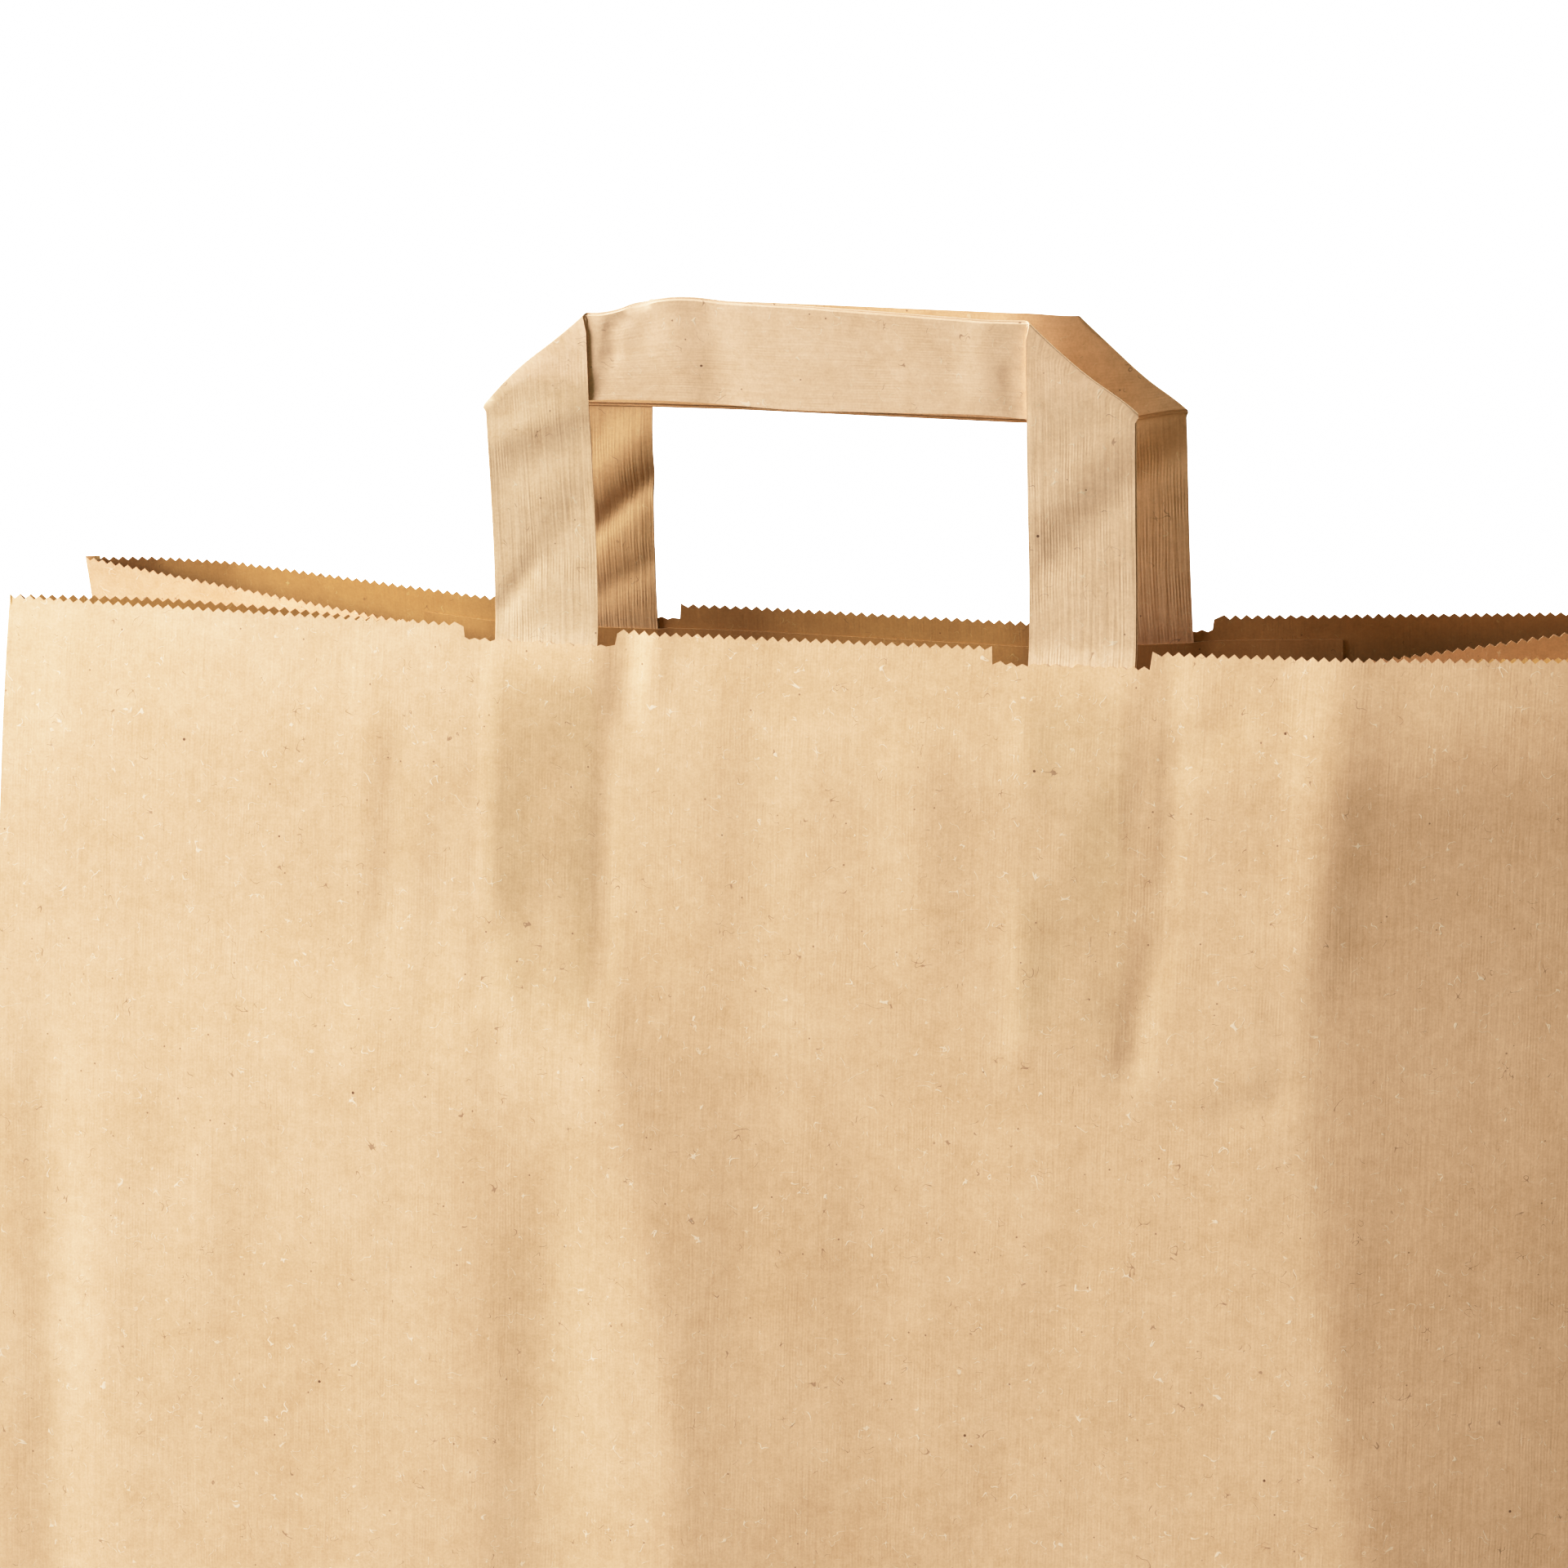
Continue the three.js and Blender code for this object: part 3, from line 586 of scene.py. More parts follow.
def flat_sheet(name, columns, rows):
    """A flat grid whose columns and rows stand at the given places, in millimetres"""
    deselect_all()
    steps_x, steps_y = len(columns) - 1, len(rows) - 1
    bpy.ops.mesh.primitive_grid_add(
        x_subdivisions=steps_x, y_subdivisions=steps_y, size=1, location=(0, 0, 0)
    )
    obj = bpy.context.object
    obj.name = name
    obj.data.name = name
    for vertex in obj.data.vertices:
        i = round((vertex.co.x + 0.5) * steps_x)
        j = round((vertex.co.y + 0.5) * steps_y)
        vertex.co = Vector((columns[i], rows[j], 0.0))
    return obj


def sheet_map(obj):
    """Keeps each point's place on the flat sheet in the UV map, in metres"""
    mesh = obj.data
    layer = mesh.uv_layers.active
    flat = [vertex.co.copy() for vertex in mesh.vertices]
    for loop in mesh.loops:
        co = flat[loop.vertex_index]
        layer.data[loop.index].uv = (co.x * MM, co.y * MM)
    return flat


def in_edit(obj, *steps):
    """Runs edit-mode steps on one object"""
    select_only(obj)
    bpy.ops.object.mode_set(mode="EDIT")
    for step in steps:
        step()
    bpy.ops.object.mode_set(mode="OBJECT")


def select_all():
    bpy.ops.mesh.select_all(action="SELECT")


def face_outwards():
    select_all()
    bpy.ops.mesh.normals_make_consistent(inside=False)


def slab(height):
    """The edit-mode step that makes a flat sheet a closed slab of this height"""

    def step():
        select_all()
        bpy.ops.mesh.extrude_region_move(TRANSFORM_OT_translate={"value": (0, 0, height)})
        face_outwards()

    return step


def pick_edges(obj, test):
    """Selects the edges whose two ends pass a test on their flat places"""
    bpy.ops.mesh.select_mode(type="EDGE")
    bpy.ops.mesh.select_all(action="DESELECT")
    edit = bmesh.from_edit_mesh(obj.data)
    for edge in edit.edges:
        if all(test(vertex.co) for vertex in edge.verts):
            edge.select_set(True)
    edit.select_flush_mode()
    bmesh.update_edit_mesh(obj.data)


def smooth_by_angle(obj, degrees):
    select_only(obj)
    bpy.ops.object.shade_smooth_by_angle(angle=math.radians(degrees))


def keep_numbers(obj, name, values):
    """Keeps a number for each point of the mesh, for its material"""
    obj.data.attributes.new(name, "FLOAT", "POINT").data.foreach_set("value", values)


def point_number(obj, name, value_at):
    """A number for each point of the mesh, from its place on the flat sheet"""
    mesh = obj.data
    layer = mesh.uv_layers.active
    values = [0.0] * len(mesh.vertices)
    for loop in mesh.loops:
        u, v = layer.data[loop.index].uv
        values[loop.vertex_index] = value_at(u / MM, v / MM)
    keep_numbers(obj, name, values)


def join(parts, name):
    select_only(*parts)
    bpy.ops.object.join()
    parts[0].name = name
    parts[0].data.name = name
    return parts[0]


def finished(obj, node, material):
    """Hands a finished piece to the frame in place of its plain solid"""
    obj.data.materials.clear()
    obj.data.materials.append(material)
    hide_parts(node)
    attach(obj, "root")
    return obj


# Materials


class Tone:
    """A number that changes over a surface, used in plain Python expressions"""

    def __init__(self, recipe, socket):
        self.recipe = recipe
        self.socket = socket

    def step(self, operation, *values):
        return self.recipe.maths(operation, self, *values)

    def __add__(self, other):
        return self.step("ADD", other)

    __radd__ = __add__

    def __mul__(self, other):
        return self.step("MULTIPLY", other)

    def __sub__(self, other):
        return self.step("SUBTRACT", other)

    def __rsub__(self, other):
        return self.recipe.maths("SUBTRACT", other, self)

    def __lt__(self, other):
        return self.step("LESS_THAN", other)

    def __abs__(self):
        return self.step("ABSOLUTE")

    def ramp(self, low, high):
        """Nothing at low, one at high, and smooth between them"""
        settings = {"interpolation_type": "SMOOTHSTEP"}
        return self.recipe.node("ShaderNodeMapRange", settings, {0: self, 1: low, 2: high}).out(0)


class Made:
    """A node with its outputs at hand"""

    def __init__(self, recipe, node):
        self.recipe = recipe
        self.node = node

    def out(self, which):
        return Tone(self.recipe, self.node.outputs[which])


class Recipe:
    """One material's nodes"""

    def __init__(self, name):
        self.material = bpy.data.materials.new(name)
        self.material.use_nodes = True
        self.tree = self.material.node_tree
        self.tree.nodes.clear()

    def node(self, kind, settings=None, inputs=None):
        made = self.tree.nodes.new(kind)
        for key, value in (settings or {}).items():
            setattr(made, key, value)
        for key, value in (inputs or {}).items():
            if isinstance(value, Tone):
                self.tree.links.new(value.socket, made.inputs[key])
            else:
                made.inputs[key].default_value = value
        return Made(self, made)

    def maths(self, operation, *values):
        return self.node("ShaderNodeMath", {"operation": operation}, dict(enumerate(values))).out(0)

    def blend(self, share, first, second, kind="MIX"):
        settings = {"data_type": "RGBA", "blend_type": kind}
        return self.node("ShaderNodeMix", settings, {0: share, 6: first, 7: second}).out(2)

    def spots(self, place, scale, radius, kept):
        """Round specks, one in each chosen cell"""
        inputs = {"Vector": place, "Scale": scale}
        cells = self.node("ShaderNodeTexVoronoi", {"feature": "F1"}, inputs)
        chosen = self.node("ShaderNodeSeparateColor", None, {0: cells.out("Color")}).out(0)
        return (1 - cells.out("Distance").ramp(radius * 0.6, radius)) * (chosen < kept)

    def cloud(self, place, scale, detail=2.0, roughness=0.5, distortion=0.0):
        return self.node(
            "ShaderNodeTexNoise",
            None,
            {
                "Vector": place,
                "Scale": scale,
                "Detail": detail,
                "Roughness": roughness,
                "Distortion": distortion,
            },
        ).out(0)

    def hairs(self, place, scale, width, gate_scale, gate):
        """Short curved fibres: thin contour lines of a cloud, cut short by another cloud"""
        line = abs(self.cloud(place, scale, 0.0, 0.5, 0.6) - 0.5)
        here = self.cloud(place, gate_scale, 1.0).ramp(gate, gate + 0.04)
        return (1 - line.ramp(width * 0.5, width)) * here

    def moved(self, place, offset, along=1.0):
        """Another part of a pattern, drawn out along the sheet where along is small"""
        inputs = {"Vector": place, "Location": offset, "Scale": (1.0, along, 1.0)}
        return self.node("ShaderNodeMapping", None, inputs).out(0)


def colour(value, tint=(1, 1, 1)):
    return (value[0] * tint[0], value[1] * tint[1], value[2] * tint[2], 1.0)


def kraft_paper(name, tint, ribs, streaks):
    """Brown kraft paper: cloudy pulp, fine ribs, dark specks and pale curved fibres"""
    looks = bpy.context.scene.paper_bag
    recipe = Recipe(name)
    place = recipe.node("ShaderNodeTexCoord").out("UV")
    across = recipe.node("ShaderNodeSeparateXYZ", None, {0: place}).out(0)
    shade, inside, ribbed = [
        recipe.node("ShaderNodeAttribute", {"attribute_name": kept}).out("Fac")
        for kept in ("shade", "inside", "ribbed")
    ]

    pulp = recipe.cloud(place, 150.0, 3.0, 0.62)
    flock = recipe.cloud(place, 520.0, 2.0, 0.6)
    drift = recipe.cloud(place, 26.0, 1.0)
    grain = recipe.cloud(recipe.moved(place, (0, 0, 0), 0.12), 1500.0, 2.0, 0.6)
    streak = recipe.cloud(recipe.moved(place, (0.7, 0, 0), 0.03), 1300.0, 1.0) - 0.5
    wander = recipe.cloud(place, 70.0, 1.0)
    rib_turns = across * (2 * math.pi / RIB_PITCH) + wander * 12.0
    rib = recipe.maths("SINE", rib_turns) * recipe.cloud(place, 110.0, 1.0).ramp(0.35, 0.75)
    rib = (rib * 0.45 + streak * 3.0) * (ribbed * ribs + 0.05)

    grit = recipe.cloud(place, 2100.0, 1.0, 0.6)
    light = (pulp - 0.5) + (flock - 0.5) * 0.9 + (drift - 0.5) * 0.8 + (grit - 0.5) * 0.9
    light = light + (grain - 0.5) * streaks + rib + 0.5
    body = recipe.blend(light, colour(looks.kraft_deep, tint), colour(looks.kraft_pale, tint))
    pale = recipe.hairs(place, 380.0, 0.014, 330.0, 0.6)
    pale_far = recipe.hairs(recipe.moved(place, (3.1, 1.7, 0)), 620.0, 0.018, 420.0, 0.62)
    dark_hair = recipe.hairs(recipe.moved(place, (7.3, 4.1, 0)), 450.0, 0.014, 240.0, 0.64)
    specks = recipe.spots(place, 110.0, 0.036, 0.34)
    fine_specks = recipe.spots(recipe.moved(place, (1.3, 2.9, 0)), 300.0, 0.065, 0.5)
    for mark, strength, hue in (
        (pale, 0.7, looks.fibre),
        (pale_far, 0.55, looks.fibre),
        (dark_hair, 0.5, looks.fleck),
        (specks, 0.9, looks.fleck),
        (fine_specks, 0.6, looks.fleck),
    ):
        body = recipe.blend(mark * strength, body, colour(hue))
    # Painted shade: the inner faces darker and warmer, as the inside of the bag lies in shade
    body = recipe.blend(inside, body, colour(looks.inner_shade_tint), "MULTIPLY")
    # Painted shade: darker over glued legs and patches, in the panel's creases and on the handles
    body = recipe.blend(shade, body, colour(looks.painted_shade_tint), "MULTIPLY")

    height = pulp * 0.35 + flock * 0.3 + grain * 0.35 + rib * 2.2 + pale * 0.25 - specks * 0.2
    bump = recipe.node(
        "ShaderNodeBump", None, {"Strength": 0.4, "Distance": PULP_RELIEF, "Height": height}
    ).out(0)
    surface = recipe.node(
        "ShaderNodeBsdfPrincipled",
        None,
        {
            "Base Color": body,
            "Roughness": 0.72 + (flock - 0.5) * 0.2,
            "Normal": bump,
            "Specular IOR Level": 0.28,
            "Sheen Weight": 0.12,
            "Sheen Roughness": 0.6,
        },
    ).out(0)
    recipe.node("ShaderNodeOutputMaterial", None, {0: surface})
    return recipe.material


def studio_white(name):
    """Pale floor that glows white away from the bag and takes its shadow near it"""
    studio = bpy.context.scene.bag_studio
    recipe = Recipe(name)
    place = recipe.node("ShaderNodeTexCoord").out("Object")
    away = recipe.node("ShaderNodeVectorMath", {"operation": "LENGTH"}, {0: place}).out("Value")
    glow = away.ramp(*SHADOW_REACH)
    surface = recipe.node(
        "ShaderNodeBsdfPrincipled",
        None,
        {
            "Base Color": (0.92, 0.92, 0.92, 1.0),
            "Roughness": 0.9,
            "Specular IOR Level": 0.1,
            "Emission Color": recipe.blend(glow, (0.12, 0.12, 0.12, 1.0), (1.0, 1.0, 1.0, 1.0)),
            "Emission Strength": studio.floor_glow,
        },
    ).out(0)
    recipe.node("ShaderNodeOutputMaterial", None, {0: surface})
    return recipe.material


# Settings


class PaperBagSettings(bpy.types.PropertyGroup):
    """Sizes and colours of the bag"""

    tooth_depth: bpy.props.FloatProperty(
        name="Tooth depth", description="Depth of the saw-cut rim's teeth",
        default=0.0008, min=0.0, max=0.002, precision=5, unit="LENGTH",
    )
    leg_print: bpy.props.FloatProperty(
        name="Leg print", description="How far the glued handle legs show through the panel",
        default=0.00035, min=0.0, max=0.001, precision=5, unit="LENGTH",
    )
    patch_print: bpy.props.FloatProperty(
        name="Patch print", description="How far the glued patches show through the panel",
        default=0.00016, min=0.0, max=0.001, precision=5, unit="LENGTH",
    )
    ridge_height: bpy.props.FloatProperty(
        name="Ridge height", description="How far the upright fold stands out of the front panel",
        default=0.009, min=0.0, max=0.012, precision=5, unit="LENGTH",
    )
    hollow_depth: bpy.props.FloatProperty(
        name="Hollow depth", description="How far the front panel falls away beside its crest",
        default=0.0048, min=0.0, max=0.008, precision=5, unit="LENGTH",
    )
    wave_height: bpy.props.FloatProperty(
        name="Wave height", description="Height of the soft waves in the panels",
        default=0.001, min=0.0, max=0.003, precision=5, unit="LENGTH",
    )
    kraft_pale: bpy.props.FloatVectorProperty(
        name="Pale kraft", description="Lighter tone of the pulp",
        default=(0.90, 0.585, 0.365), size=3, subtype="COLOR", min=0.0, max=1.0,
    )
    kraft_deep: bpy.props.FloatVectorProperty(
        name="Deep kraft", description="Darker tone of the pulp",
        default=(0.70, 0.43, 0.24), size=3, subtype="COLOR", min=0.0, max=1.0,
    )
    fibre: bpy.props.FloatVectorProperty(
        name="Pale fibre", description="Colour of the pale fibres",
        default=(1.0, 0.8, 0.6), size=3, subtype="COLOR", min=0.0, max=1.0,
    )
    fleck: bpy.props.FloatVectorProperty(
        name="Dark fleck", description="Colour of the dark specks",
        default=(0.16, 0.075, 0.03), size=3, subtype="COLOR", min=0.0, max=1.0,
    )
    # Painted shade of the sheet's inner face: it darkens and warms the inside of the bag, the
    # patches and the rear handle
    inner_shade_tint: bpy.props.FloatVectorProperty(
        name="Inside tint", description="Warmer tone of the sheet's inner face",
        default=(0.56, 0.47, 0.235), size=3, subtype="COLOR", min=0.0, max=1.0,
    )
    # Painted shade: the colour that the shade attribute multiplies in, over glued legs and patches,
    # in creases and on the handles
    painted_shade_tint: bpy.props.FloatVectorProperty(
        name="Pressed tint", description="Tone of the paper where it is pressed, glued or doubled",
        default=(0.80, 0.815, 0.77), size=3, subtype="COLOR", min=0.0, max=1.0,
    )


class BagStudioSettings(bpy.types.PropertyGroup):
    """Light and floor of the studio"""

    back_power: bpy.props.FloatProperty(
        name="Back light", description="Power of the soft light behind the bag",
        default=66.0, min=0.0, max=400.0, unit="POWER",
    )
    key_power: bpy.props.FloatProperty(
        name="Window light", description="Power of the soft light at the left",
        default=20.0, min=0.0, max=400.0, unit="POWER",
    )
    fill_strength: bpy.props.FloatProperty(
        name="Fill light", description="Strength of the light from all round",
        default=0.18, min=0.0, max=4.0,
    )
    floor_glow: bpy.props.FloatProperty(
        name="Floor glow", description="Light that the white floor gives, away from the bag",
        default=4.0, min=0.0, max=8.0,
    )


# The pieces


def band_columns():
    """Places along the flat band, each on the tip of a tooth"""
    columns = [0.0]
    gusset = [(HALF_GUSSET, HALF_GUSSET_TEETH)] * 2
    for width, count in [(BAG_WIDTH, PANEL_TEETH), *gusset, (BAG_WIDTH, PANEL_TEETH // 2), *gusset]:
        columns += evenly(columns[-1], width, count)[1:]
    return columns


def band_rows():
    """Lengths up the sheet: even over the gusset's triangle, closer towards the rim"""
    spans = (
        (HALF_GUSSET, HALF_GUSSET_TEETH),
        (240.0, 14),
        (345.0, 22),
        (PANEL_HEIGHT - RIM_STRIP, 34),
        (PANEL_HEIGHT, 1),
    )
    rows = [0.0]
    for end, count in spans:
        rows += evenly(rows[-1], end - rows[-1], count)[1:]
    return rows


def panel_shade(x, rise, side):
    """Painted shade on a panel: over the glued legs and patch, where the doubled paper lets less
    light through, and in its creases
    """
    across = min(abs(x - centre) for centre in side.legs)
    uneven = 0.75 + 0.9 * noise.noise(Vector((x / 9, rise / 24, 31.0)))
    leg = smooth(1 - (across - STRIP_HALF + 1.5) / 4) * smooth((LEG_DEPTH + 2 + rise) / 12)
    leg *= 0.85 * clamp(uneven) * smooth((-rise - 3) / 12)
    sheet = smooth((PATCH_WIDTH / 2 - abs(x - side.handle_shift)) / 3)
    sheet *= smooth((PATCH_BOTTOM + rise) / 4)
    crease_shade = clamp(-crease_height(side, x, rise) * 0.9)
    return clamp(leg + 0.08 * sheet + 0.35 * crease_shade)


def band_shade(u, length):
    """The painted shade at a place of the flat band, with a slight even darkening off the panels"""
    rise = length - PANEL_HEIGHT
    if u <= BAG_WIDTH:
        return panel_shade(u - HALF_WIDTH, rise, FRONT)
    rear_u = u - BAG_WIDTH - 2 * HALF_GUSSET
    if 0 <= rear_u <= BAG_WIDTH:
        return panel_shade(HALF_WIDTH - rear_u, rise, REAR)
    return 0.08


def flap(name, edge_sign, reach, lowest):
    """One folded bottom flap, with its ends cut at 45 degrees"""
    edge = HALF_GUSSET - FLAP_INSET
    half = HALF_WIDTH - 2 * FLAP_INSET
    obj = flat_sheet(name, evenly(-half, 2 * half, 16), evenly(0.0, reach, 2))
    for vertex in obj.data.vertices:
        vertex.co.x *= (half - vertex.co.y) / half
    sheet_map(obj)
    for vertex in obj.data.vertices:
        x, y, _ = vertex.co
        vertex.co = Vector((x, edge_sign * (edge - y), lowest)) * MM
    in_edit(obj, slab(PAPER * MM))
    return obj


def place_key(co):
    return tuple(round(c, 7) for c in co)


def on_rim(co):
    return co.y > PANEL_HEIGHT - RIM_TOUCH


def cut_teeth(obj):
    """Halves the rim's edges until each tooth has its tip and valley"""
    narrow = TOOTH_PITCH * 1.2

    def wide_rim():
        pick_edges(obj, on_rim)
        edit = bmesh.from_edit_mesh(obj.data)
        for edge in edit.edges:
            if edge.select and edge.calc_length() < narrow:
                edge.select_set(False)
        edit.select_flush_mode()
        bmesh.update_edit_mesh(obj.data)

    in_edit(
        obj,
        wide_rim,
        lambda: bpy.ops.mesh.subdivide(number_cuts=1),
        lambda: pick_edges(obj, on_rim),
        lambda: bpy.ops.mesh.subdivide(number_cuts=1),
    )


def tooth_valleys(obj):
    """Lowers the rim's points to the cut line, which drops steeply at the ends of a notch"""
    rim = sorted((v for v in obj.data.vertices if on_rim(v.co)), key=lambda v: v.co.x)
    for end in notch_ends():
        before, after = next(
            (low, high) for low, high in zip(rim, rim[1:]) if low.co.x <= end < high.co.x
        )
        before.co.x, after.co.x = end - NOTCH_CUT, end + NOTCH_CUT
    for place, vertex in enumerate(rim):
        vertex.co.y = rim_length(vertex.co.x, place % 2 == 1)


class BAG_OT_body(bpy.types.Operator):
    """Fold the bag's body from one flat band, with its bottom flaps"""

    bl_idname = "paper_bag.body"
    bl_label = "Bag body"

    def execute(self, context):
        for kept in (relief, corner, crease_point):
            kept.cache_clear()
        obj = flat_sheet("folded_bag_body", band_columns(), band_rows())
        cut_teeth(obj)
        tooth_valleys(obj)
        flat = sheet_map(obj)
        for vertex, co in zip(obj.data.vertices, flat):
            vertex.co = band_point(co.x, co.y) * MM
        low = (BASE_Z + 0.01) * MM

        def close_bottom():
            select_all()
            bpy.ops.mesh.remove_doubles(threshold=1e-6)
            pick_edges(obj, lambda co: co.z < low)
            bpy.ops.mesh.edge_face_add()
            face_outwards()

        in_edit(obj, close_bottom)
        # The closed bottom is one face with many corners, so its map is its own place
        layer = obj.data.uv_layers.active
        for face in obj.data.polygons:
            if len(face.vertices) > 20:
                for loop in face.loop_indices:
                    co = obj.data.vertices[obj.data.loops[loop].vertex_index].co
                    layer.data[loop].uv = (co.x, co.y)
        outer = {place_key(vertex.co) for vertex in obj.data.vertices}
        thick = obj.modifiers.new("paper", "SOLIDIFY")
        thick.thickness = PAPER * MM
        thick.offset = -1
        thick.use_even_offset = True
        thick.thickness_clamp = 0
        bpy.ops.object.modifier_apply(modifier=thick.name)
        # Inner faces are marked for the painted shade of the bag's inside
        inner = [float(place_key(vertex.co) not in outer) for vertex in obj.data.vertices]
        # Painted shade over the glued legs and patch and in the panel's creases
        point_number(obj, "shade", band_shade)
        keep_numbers(obj, "inside", inner)
        front_flap = flap("front_flap", -1, FRONT_FLAP_REACH, PAPER)
        rear_flap = flap("rear_flap", 1, REAR_FLAP_REACH, 0.0)
        obj = join([obj, front_flap, rear_flap], "folded_bag_body")
        smooth_by_angle(obj, SHEET_SMOOTH)
        finished(obj, "bag_body", kraft_paper("Kraft sheet", (1, 1, 1), 0.05, 0.3))
        return {"FINISHED"}


def strip_rows(side):
    """Lines across the flat strip, as the places along its outer and inner edge"""
    width = 2 * STRIP_HALF
    fold_low = side.handle_rise - width
    fold_high = fold_low + width
    rows = []

    def straight(start, run):
        rows.extend((at, at) for at in evenly(start, run, round(run / STRIP_STEP)))

    def fan(outer, inner):
        for i in range(1, FOLD_FAN):
            rows.append((lerp(*outer, i / FOLD_FAN), lerp(*inner, i / FOLD_FAN)))

    straight(-LEG_DEPTH, fold_low - FOLD_ROOM + LEG_DEPTH)
    before, after = fold_low - FOLD_ROOM, fold_high + FOLD_ROOM
    fan((before, fold_low - FOLD_FLAT), (before, fold_high - FOLD_FLAT))
    for i in range(FOLD_TURNS + 1):
        shift = -FOLD_FLAT + FOLD_FLAT * 2 * (i / FOLD_TURNS)
        rows.append((fold_low + shift, fold_high + shift))
    fan((fold_low + FOLD_FLAT, after), (fold_high + FOLD_FLAT, after))
    straight(after, (LEG_PITCH - width) / 2 - FOLD_ROOM)
    return rows


def folded_place(side, hand, a, s, e):
    """Where a point of the flat strip comes to lie: across x, rise and depth.

    a runs from the inner edge to the outer edge, s along the strip from the foot of a leg
    to the middle of the bar, and e through its layers.
    """
    centre = side.legs[0] if hand < 0 else side.legs[1]
    reach = GLUE_GAP / 2 + STRIP_THICKNESS
    middle = LEG_OFFSET + reach
    radius = reach - e
    fold_line = side.handle_rise - STRIP_HALF - a
    past = (s - fold_line) / math.sqrt(2)
    turned = past + radius * math.pi / 2
    if turned <= 0:
        back, depth = 0.0, middle - radius
    elif turned >= radius * math.pi:
        back, depth = turned - radius * math.pi, middle + radius
    else:
        back, depth = None, middle - radius * math.cos(turned / radius)
    if back == 0.0:
        return centre + hand * a, s, depth
    # Along the fold line from the point's foot on it, then out from it in the strip's plane
    foot_a = a - past / math.sqrt(2)
    foot_s = s - past / math.sqrt(2)
    if back is None:
        out = radius * math.sin(turned / radius)
        return centre + hand * (foot_a + out / math.sqrt(2)), foot_s + out / math.sqrt(2), depth
    return centre + hand * (foot_a - back / math.sqrt(2)), foot_s - back / math.sqrt(2), depth


def nudged(side, x, rise):
    """A strip's place in its own plane, with the small shifts of its pressed corners"""
    new_x, new_rise = x, rise
    for (at_x, at_rise), (reach_x, reach_rise), (shift_x, shift_rise) in side.nudges:
        share = smooth(1 - abs(x - at_x) / reach_x) * smooth(1 - abs(rise - at_rise) / reach_rise)
        new_x += shift_x * share
        new_rise += shift_rise * share
    return new_x, new_rise


def strip_layer(side, number, near, far, outer_reach, inner_reach):
    """One paper layer of a handle, from the foot of the left leg to the foot of the right"""
    half_rows = strip_rows(side)
    count = len(half_rows)
    columns = evenly(-1, 2, STRIP_COLUMNS)
    obj = flat_sheet(f"{side.name}_strip_{number}", columns, range(2 * count - 1))
    in_edit(obj, slab(1))
    total = 2 * (half_rows[-1][0] + LEG_DEPTH)
    flat, folded = [], []
    for vertex in obj.data.vertices:
        column, row, level = vertex.co.x, round(vertex.co.y), vertex.co.z
        hand = -1 if row < count else 1
        own = row if row < count else 2 * count - 2 - row
        outer_s, inner_s = half_rows[own]
        share = (column + 1) / 2
        s = lerp(inner_s, outer_s, share)
        a = lerp(-STRIP_HALF - inner_reach, STRIP_HALF + outer_reach, share)
        e = near if level < 0.5 else far
        x, rise, depth = folded_place(side, hand, a, s, e)
        x, rise = nudged(side, x, rise)
        folded.append(layer_point(side, x, rise, depth) * MM)
        along = s + LEG_DEPTH
        flat.append(((a + 40 * number) * MM, (along if hand < 0 else total - along) * MM))
    layer = obj.data.uv_layers.active
    for loop in obj.data.loops:
        layer.data[loop.index].uv = flat[loop.vertex_index]
    for vertex, place in zip(obj.data.vertices, folded):
        vertex.co = place
    in_edit(obj, face_outwards)
    return obj


def make_handle(side):
    layers = [strip_layer(side, k, *sizes) for k, sizes in enumerate(STRIP_LAYERS)]
    bar_end = side.handle_rise + LEG_DEPTH
    total = 2 * bar_end + LEG_PITCH - 2 * STRIP_HALF
    obj = join(layers, f"folded_{side.name}_handle")
    low, high = bar_end - 12, total - bar_end + 12
    # Painted shade on the handle strip: the legs darker than the bar, the front handle's left leg
    # darker than its right against the light from the left, and the rear handle darker, most at its
    # left, as in the front handle's shade
    if side is FRONT:
        leg_painted_shades, bar_painted_shade, inside_painted_shades, leg_ribs = (0.95, 0.5), 0.0, (0.0, 0.0), 0.8
    else:
        leg_painted_shades, bar_painted_shade, inside_painted_shades, leg_ribs = (0.95, 0.6), 0.4, (0.62, 0.2), 1.6

    def from_bar(s, reach):
        return smooth(max(low - s, s - high) / reach)

    def crossing(s):
        return smooth((s - low) / (high - low))

    def tone(_, s):
        return lerp(bar_painted_shade, lerp(*leg_painted_shades, crossing(s)), from_bar(s, 6))

    point_number(obj, "shade", tone)
    point_number(obj, "ribbed", lambda _, s: lerp(0.15, leg_ribs, from_bar(s, 24)))
    point_number(obj, "inside", lambda _, s: lerp(*inside_painted_shades, crossing(s)))
    smooth_by_angle(obj, STRIP_SMOOTH)
    return obj


class BAG_OT_handles(bpy.types.Operator):
    """Fold the two handles from flat layered strips"""

    bl_idname = "paper_bag.handles"
    bl_label = "Handles"

    def execute(self, context):
        material = kraft_paper("Kraft handle strip", (1.15, 1.21, 1.34), 0.15, 0.5)
        for side in (FRONT, REAR):
            finished(make_handle(side), f"{side.name}_handle", material)
        return {"FINISHED"}


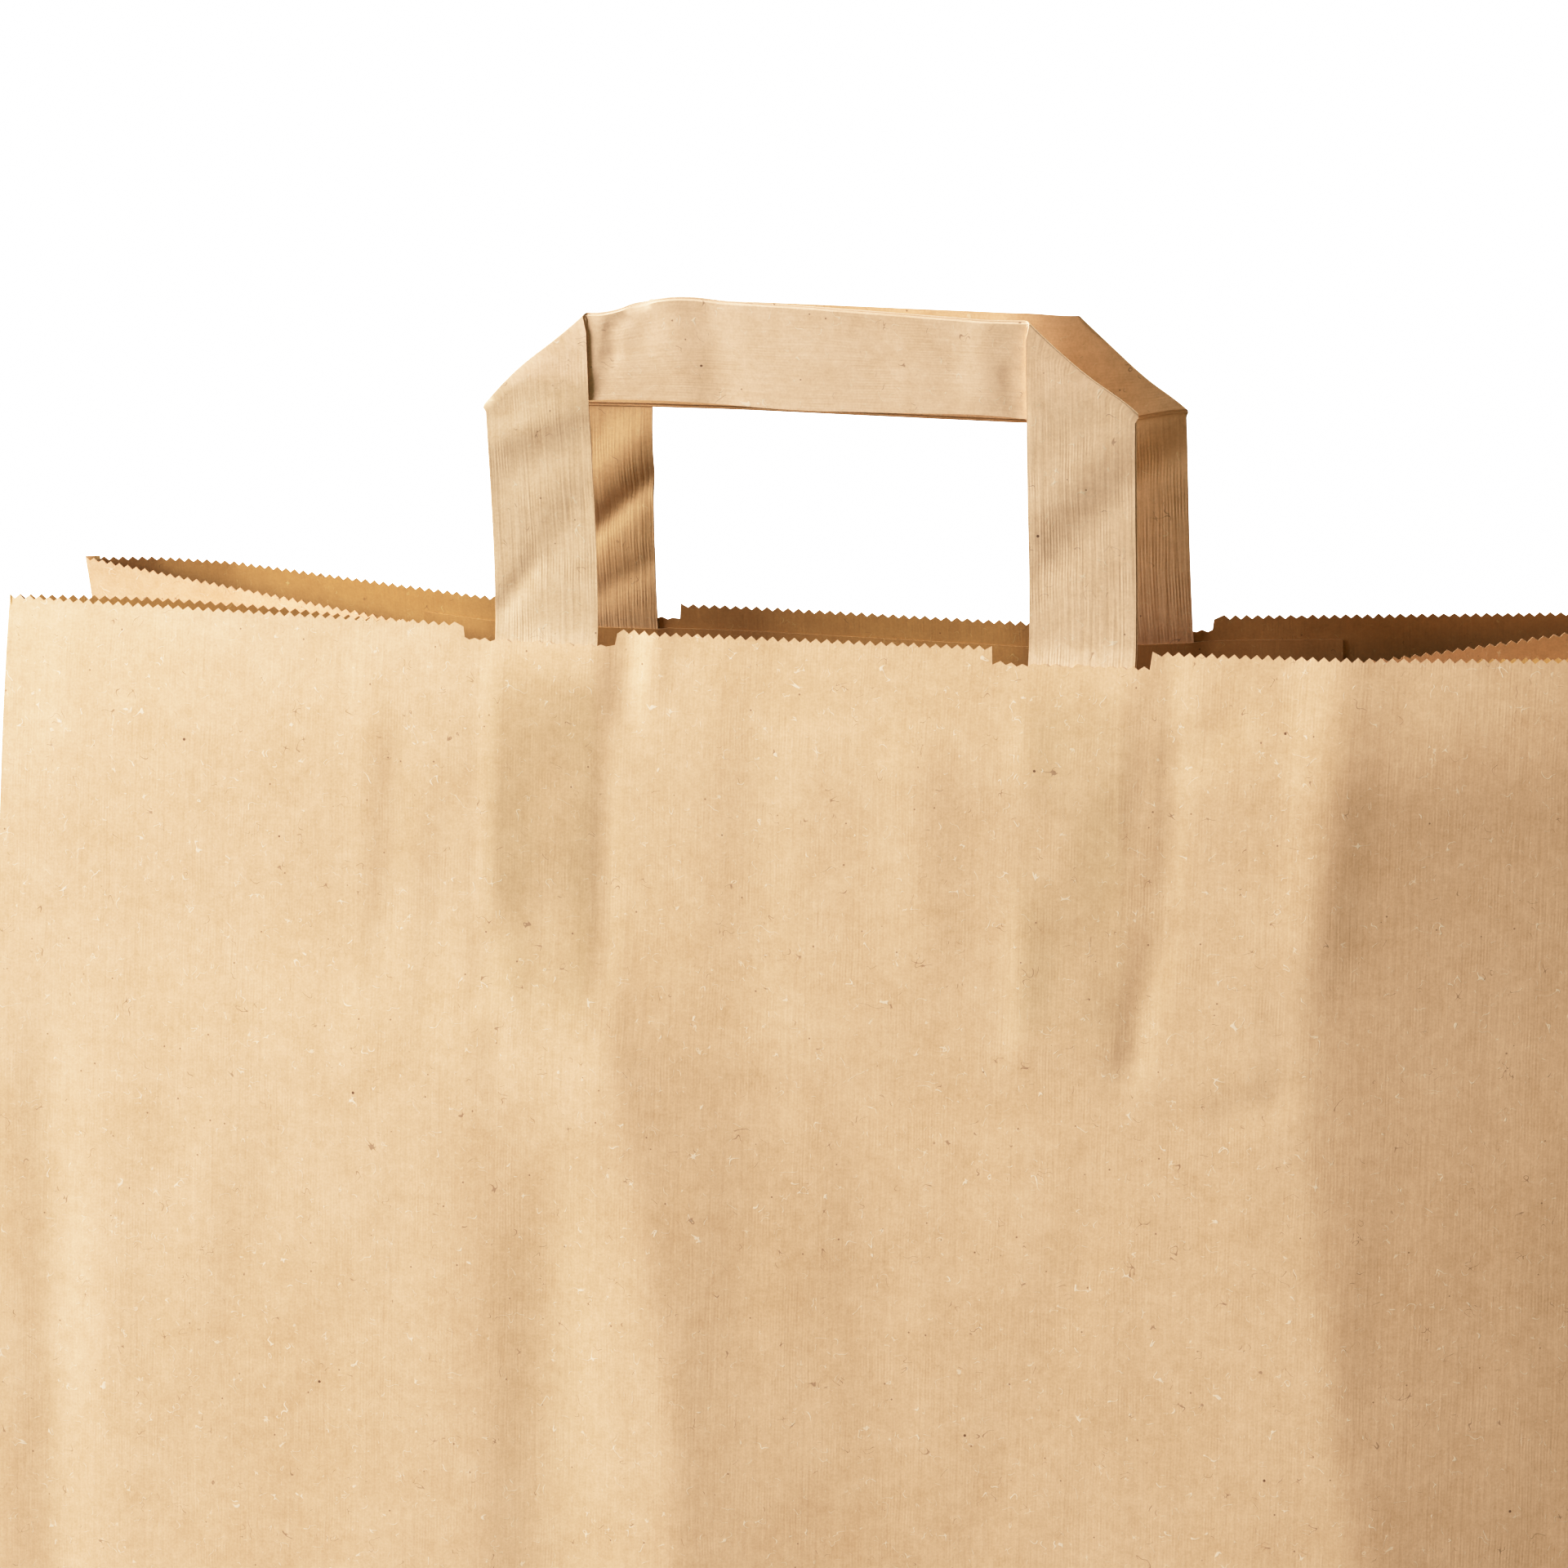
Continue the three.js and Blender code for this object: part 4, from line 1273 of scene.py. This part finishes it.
def make_patch(side):
    """The sheet glued over the two legs"""
    left = side.handle_shift - PATCH_WIDTH / 2
    columns = evenly(left, PATCH_WIDTH, PATCH_COLUMNS)
    rows = evenly(-PATCH_BOTTOM, PATCH_BOTTOM - PATCH_TOP, PATCH_ROWS)
    obj = flat_sheet(f"glued_{side.name}_patch", columns, rows)
    sheet_map(obj)
    in_edit(obj, slab(1))
    for vertex in obj.data.vertices:
        x, rise, level = vertex.co
        across = min(abs(x - centre) for centre in side.legs)
        over = smooth((STRIP_HALF + 1.3 - across) / 0.9)
        depth = LEG_OFFSET + (STRIP_THICKNESS + GLUE_GAP) * over + PAPER * level
        vertex.co = layer_point(side, x, rise, depth) * MM
    in_edit(obj, face_outwards)
    # The patch lies on the inner face, so it takes the painted shade of the inside and no painted
    # shade of its own
    for name, value in (("shade", 0.0), ("inside", 1.0)):
        keep_numbers(obj, name, [value] * len(obj.data.vertices))
    smooth_by_angle(obj, STRIP_SMOOTH)
    return obj


class BAG_OT_patches(bpy.types.Operator):
    """Glue a patch over the legs of each handle"""

    bl_idname = "paper_bag.patches"
    bl_label = "Patches"

    def execute(self, context):
        material = kraft_paper("Kraft patch", (0.98, 0.97, 0.96), 0.05, 0.3)
        for side in (FRONT, REAR):
            finished(make_patch(side), f"{side.name}_handle_patch", material)
        return {"FINISHED"}


def soft_light(name, place, power, tint):
    """A square soft light that looks at the middle of the bag's mouth"""
    bpy.ops.object.light_add(type="AREA", location=place)
    light = bpy.context.object
    light.name = name
    light.data.shape = "SQUARE"
    light.data.size = LIGHT_SIZE
    light.data.energy = power
    light.data.color = tint
    light.rotation_euler = (LIT_PLACE - light.location).to_track_quat("-Z", "Y").to_euler()
    return light


def print_tone(view):
    """The soft shoulder of a printed photograph: what is over white rolls off"""
    view.view_transform = "Standard"
    view.use_curve_mapping = True
    tone = view.curve_mapping
    tone.white_level = (TONE_WHITE, TONE_WHITE, TONE_WHITE)
    curve = tone.curves[3]
    for light, shown in TONE_POINTS:
        curve.points.new(light / TONE_WHITE, shown)
    tone.update()


class BAG_OT_studio(bpy.types.Operator):
    """Set up the pale floor, the soft light and the camera"""

    bl_idname = "paper_bag.studio"
    bl_label = "Studio"

    def execute(self, context):
        studio = context.scene.bag_studio
        deselect_all()
        bpy.ops.mesh.primitive_plane_add(size=FLOOR_SIZE, location=FLOOR_PLACE)
        floor = context.object
        floor.name = "studio_floor"
        bpy.ops.object.transform_apply(location=True, rotation=True, scale=True)
        floor.data.materials.append(studio_white("Studio white"))
        floor.visible_diffuse = False
        floor.visible_glossy = False

        window = soft_light("window_light", WINDOW_PLACE, studio.key_power, WINDOW_TINT)
        window.data.spread = WINDOW_SPREAD
        back = soft_light("back_light", BACK_PLACE, studio.back_power, BACK_TINT)

        world = bpy.data.worlds.new("soft_room")
        world.use_nodes = True
        sky = world.node_tree.nodes["Background"]
        sky.inputs[0].default_value = colour(ROOM_TINT)
        sky.inputs[1].default_value = studio.fill_strength
        context.scene.world = world
        print_tone(context.scene.view_settings)

        bpy.ops.object.camera_add(location=CAMERA_PLACE)
        camera = context.object
        camera.name = "photo_camera"
        camera.data.lens = CAMERA_LENS
        camera.data.sensor_width = CAMERA_SENSOR
        turn = Matrix.Rotation(math.radians(CAMERA_TURN), 4, "Z")
        turn = turn @ Matrix.Rotation(math.radians(CAMERA_TILT), 4, "X")
        turn = turn @ Matrix.Rotation(math.radians(CAMERA_ROLL), 4, "Z")
        camera.rotation_euler = turn.to_euler()
        context.scene.camera = camera
        return {"FINISHED"}


class BAG_PT_panel(bpy.types.Panel):
    """Sidebar panel of the paper carrier bag"""

    bl_idname = "BAG_PT_panel"
    bl_label = "Paper carrier bag"
    bl_space_type = "VIEW_3D"
    bl_region_type = "UI"
    bl_category = "Paper bag"

    def draw(self, context):
        layout = self.layout
        for settings in (context.scene.paper_bag, context.scene.bag_studio):
            box = layout.box()
            for name in settings.__annotations__:
                box.prop(settings, name)
        for operator in OPERATORS:
            layout.operator(operator.bl_idname)


OPERATORS = (BAG_OT_body, BAG_OT_handles, BAG_OT_patches, BAG_OT_studio)
CLASSES = (PaperBagSettings, BagStudioSettings, *OPERATORS, BAG_PT_panel)


def register():
    for cls in CLASSES:
        bpy.utils.register_class(cls)
    bpy.types.Scene.paper_bag = bpy.props.PointerProperty(type=PaperBagSettings)
    bpy.types.Scene.bag_studio = bpy.props.PointerProperty(type=BagStudioSettings)


def unregister():
    del bpy.types.Scene.bag_studio
    del bpy.types.Scene.paper_bag
    for cls in reversed(CLASSES):
        bpy.utils.unregister_class(cls)


def main():
    register()
    bpy.ops.paper_bag.body()
    bpy.ops.paper_bag.handles()
    bpy.ops.paper_bag.patches()
    bpy.ops.paper_bag.studio()


if __name__ == "__main__":
    main()
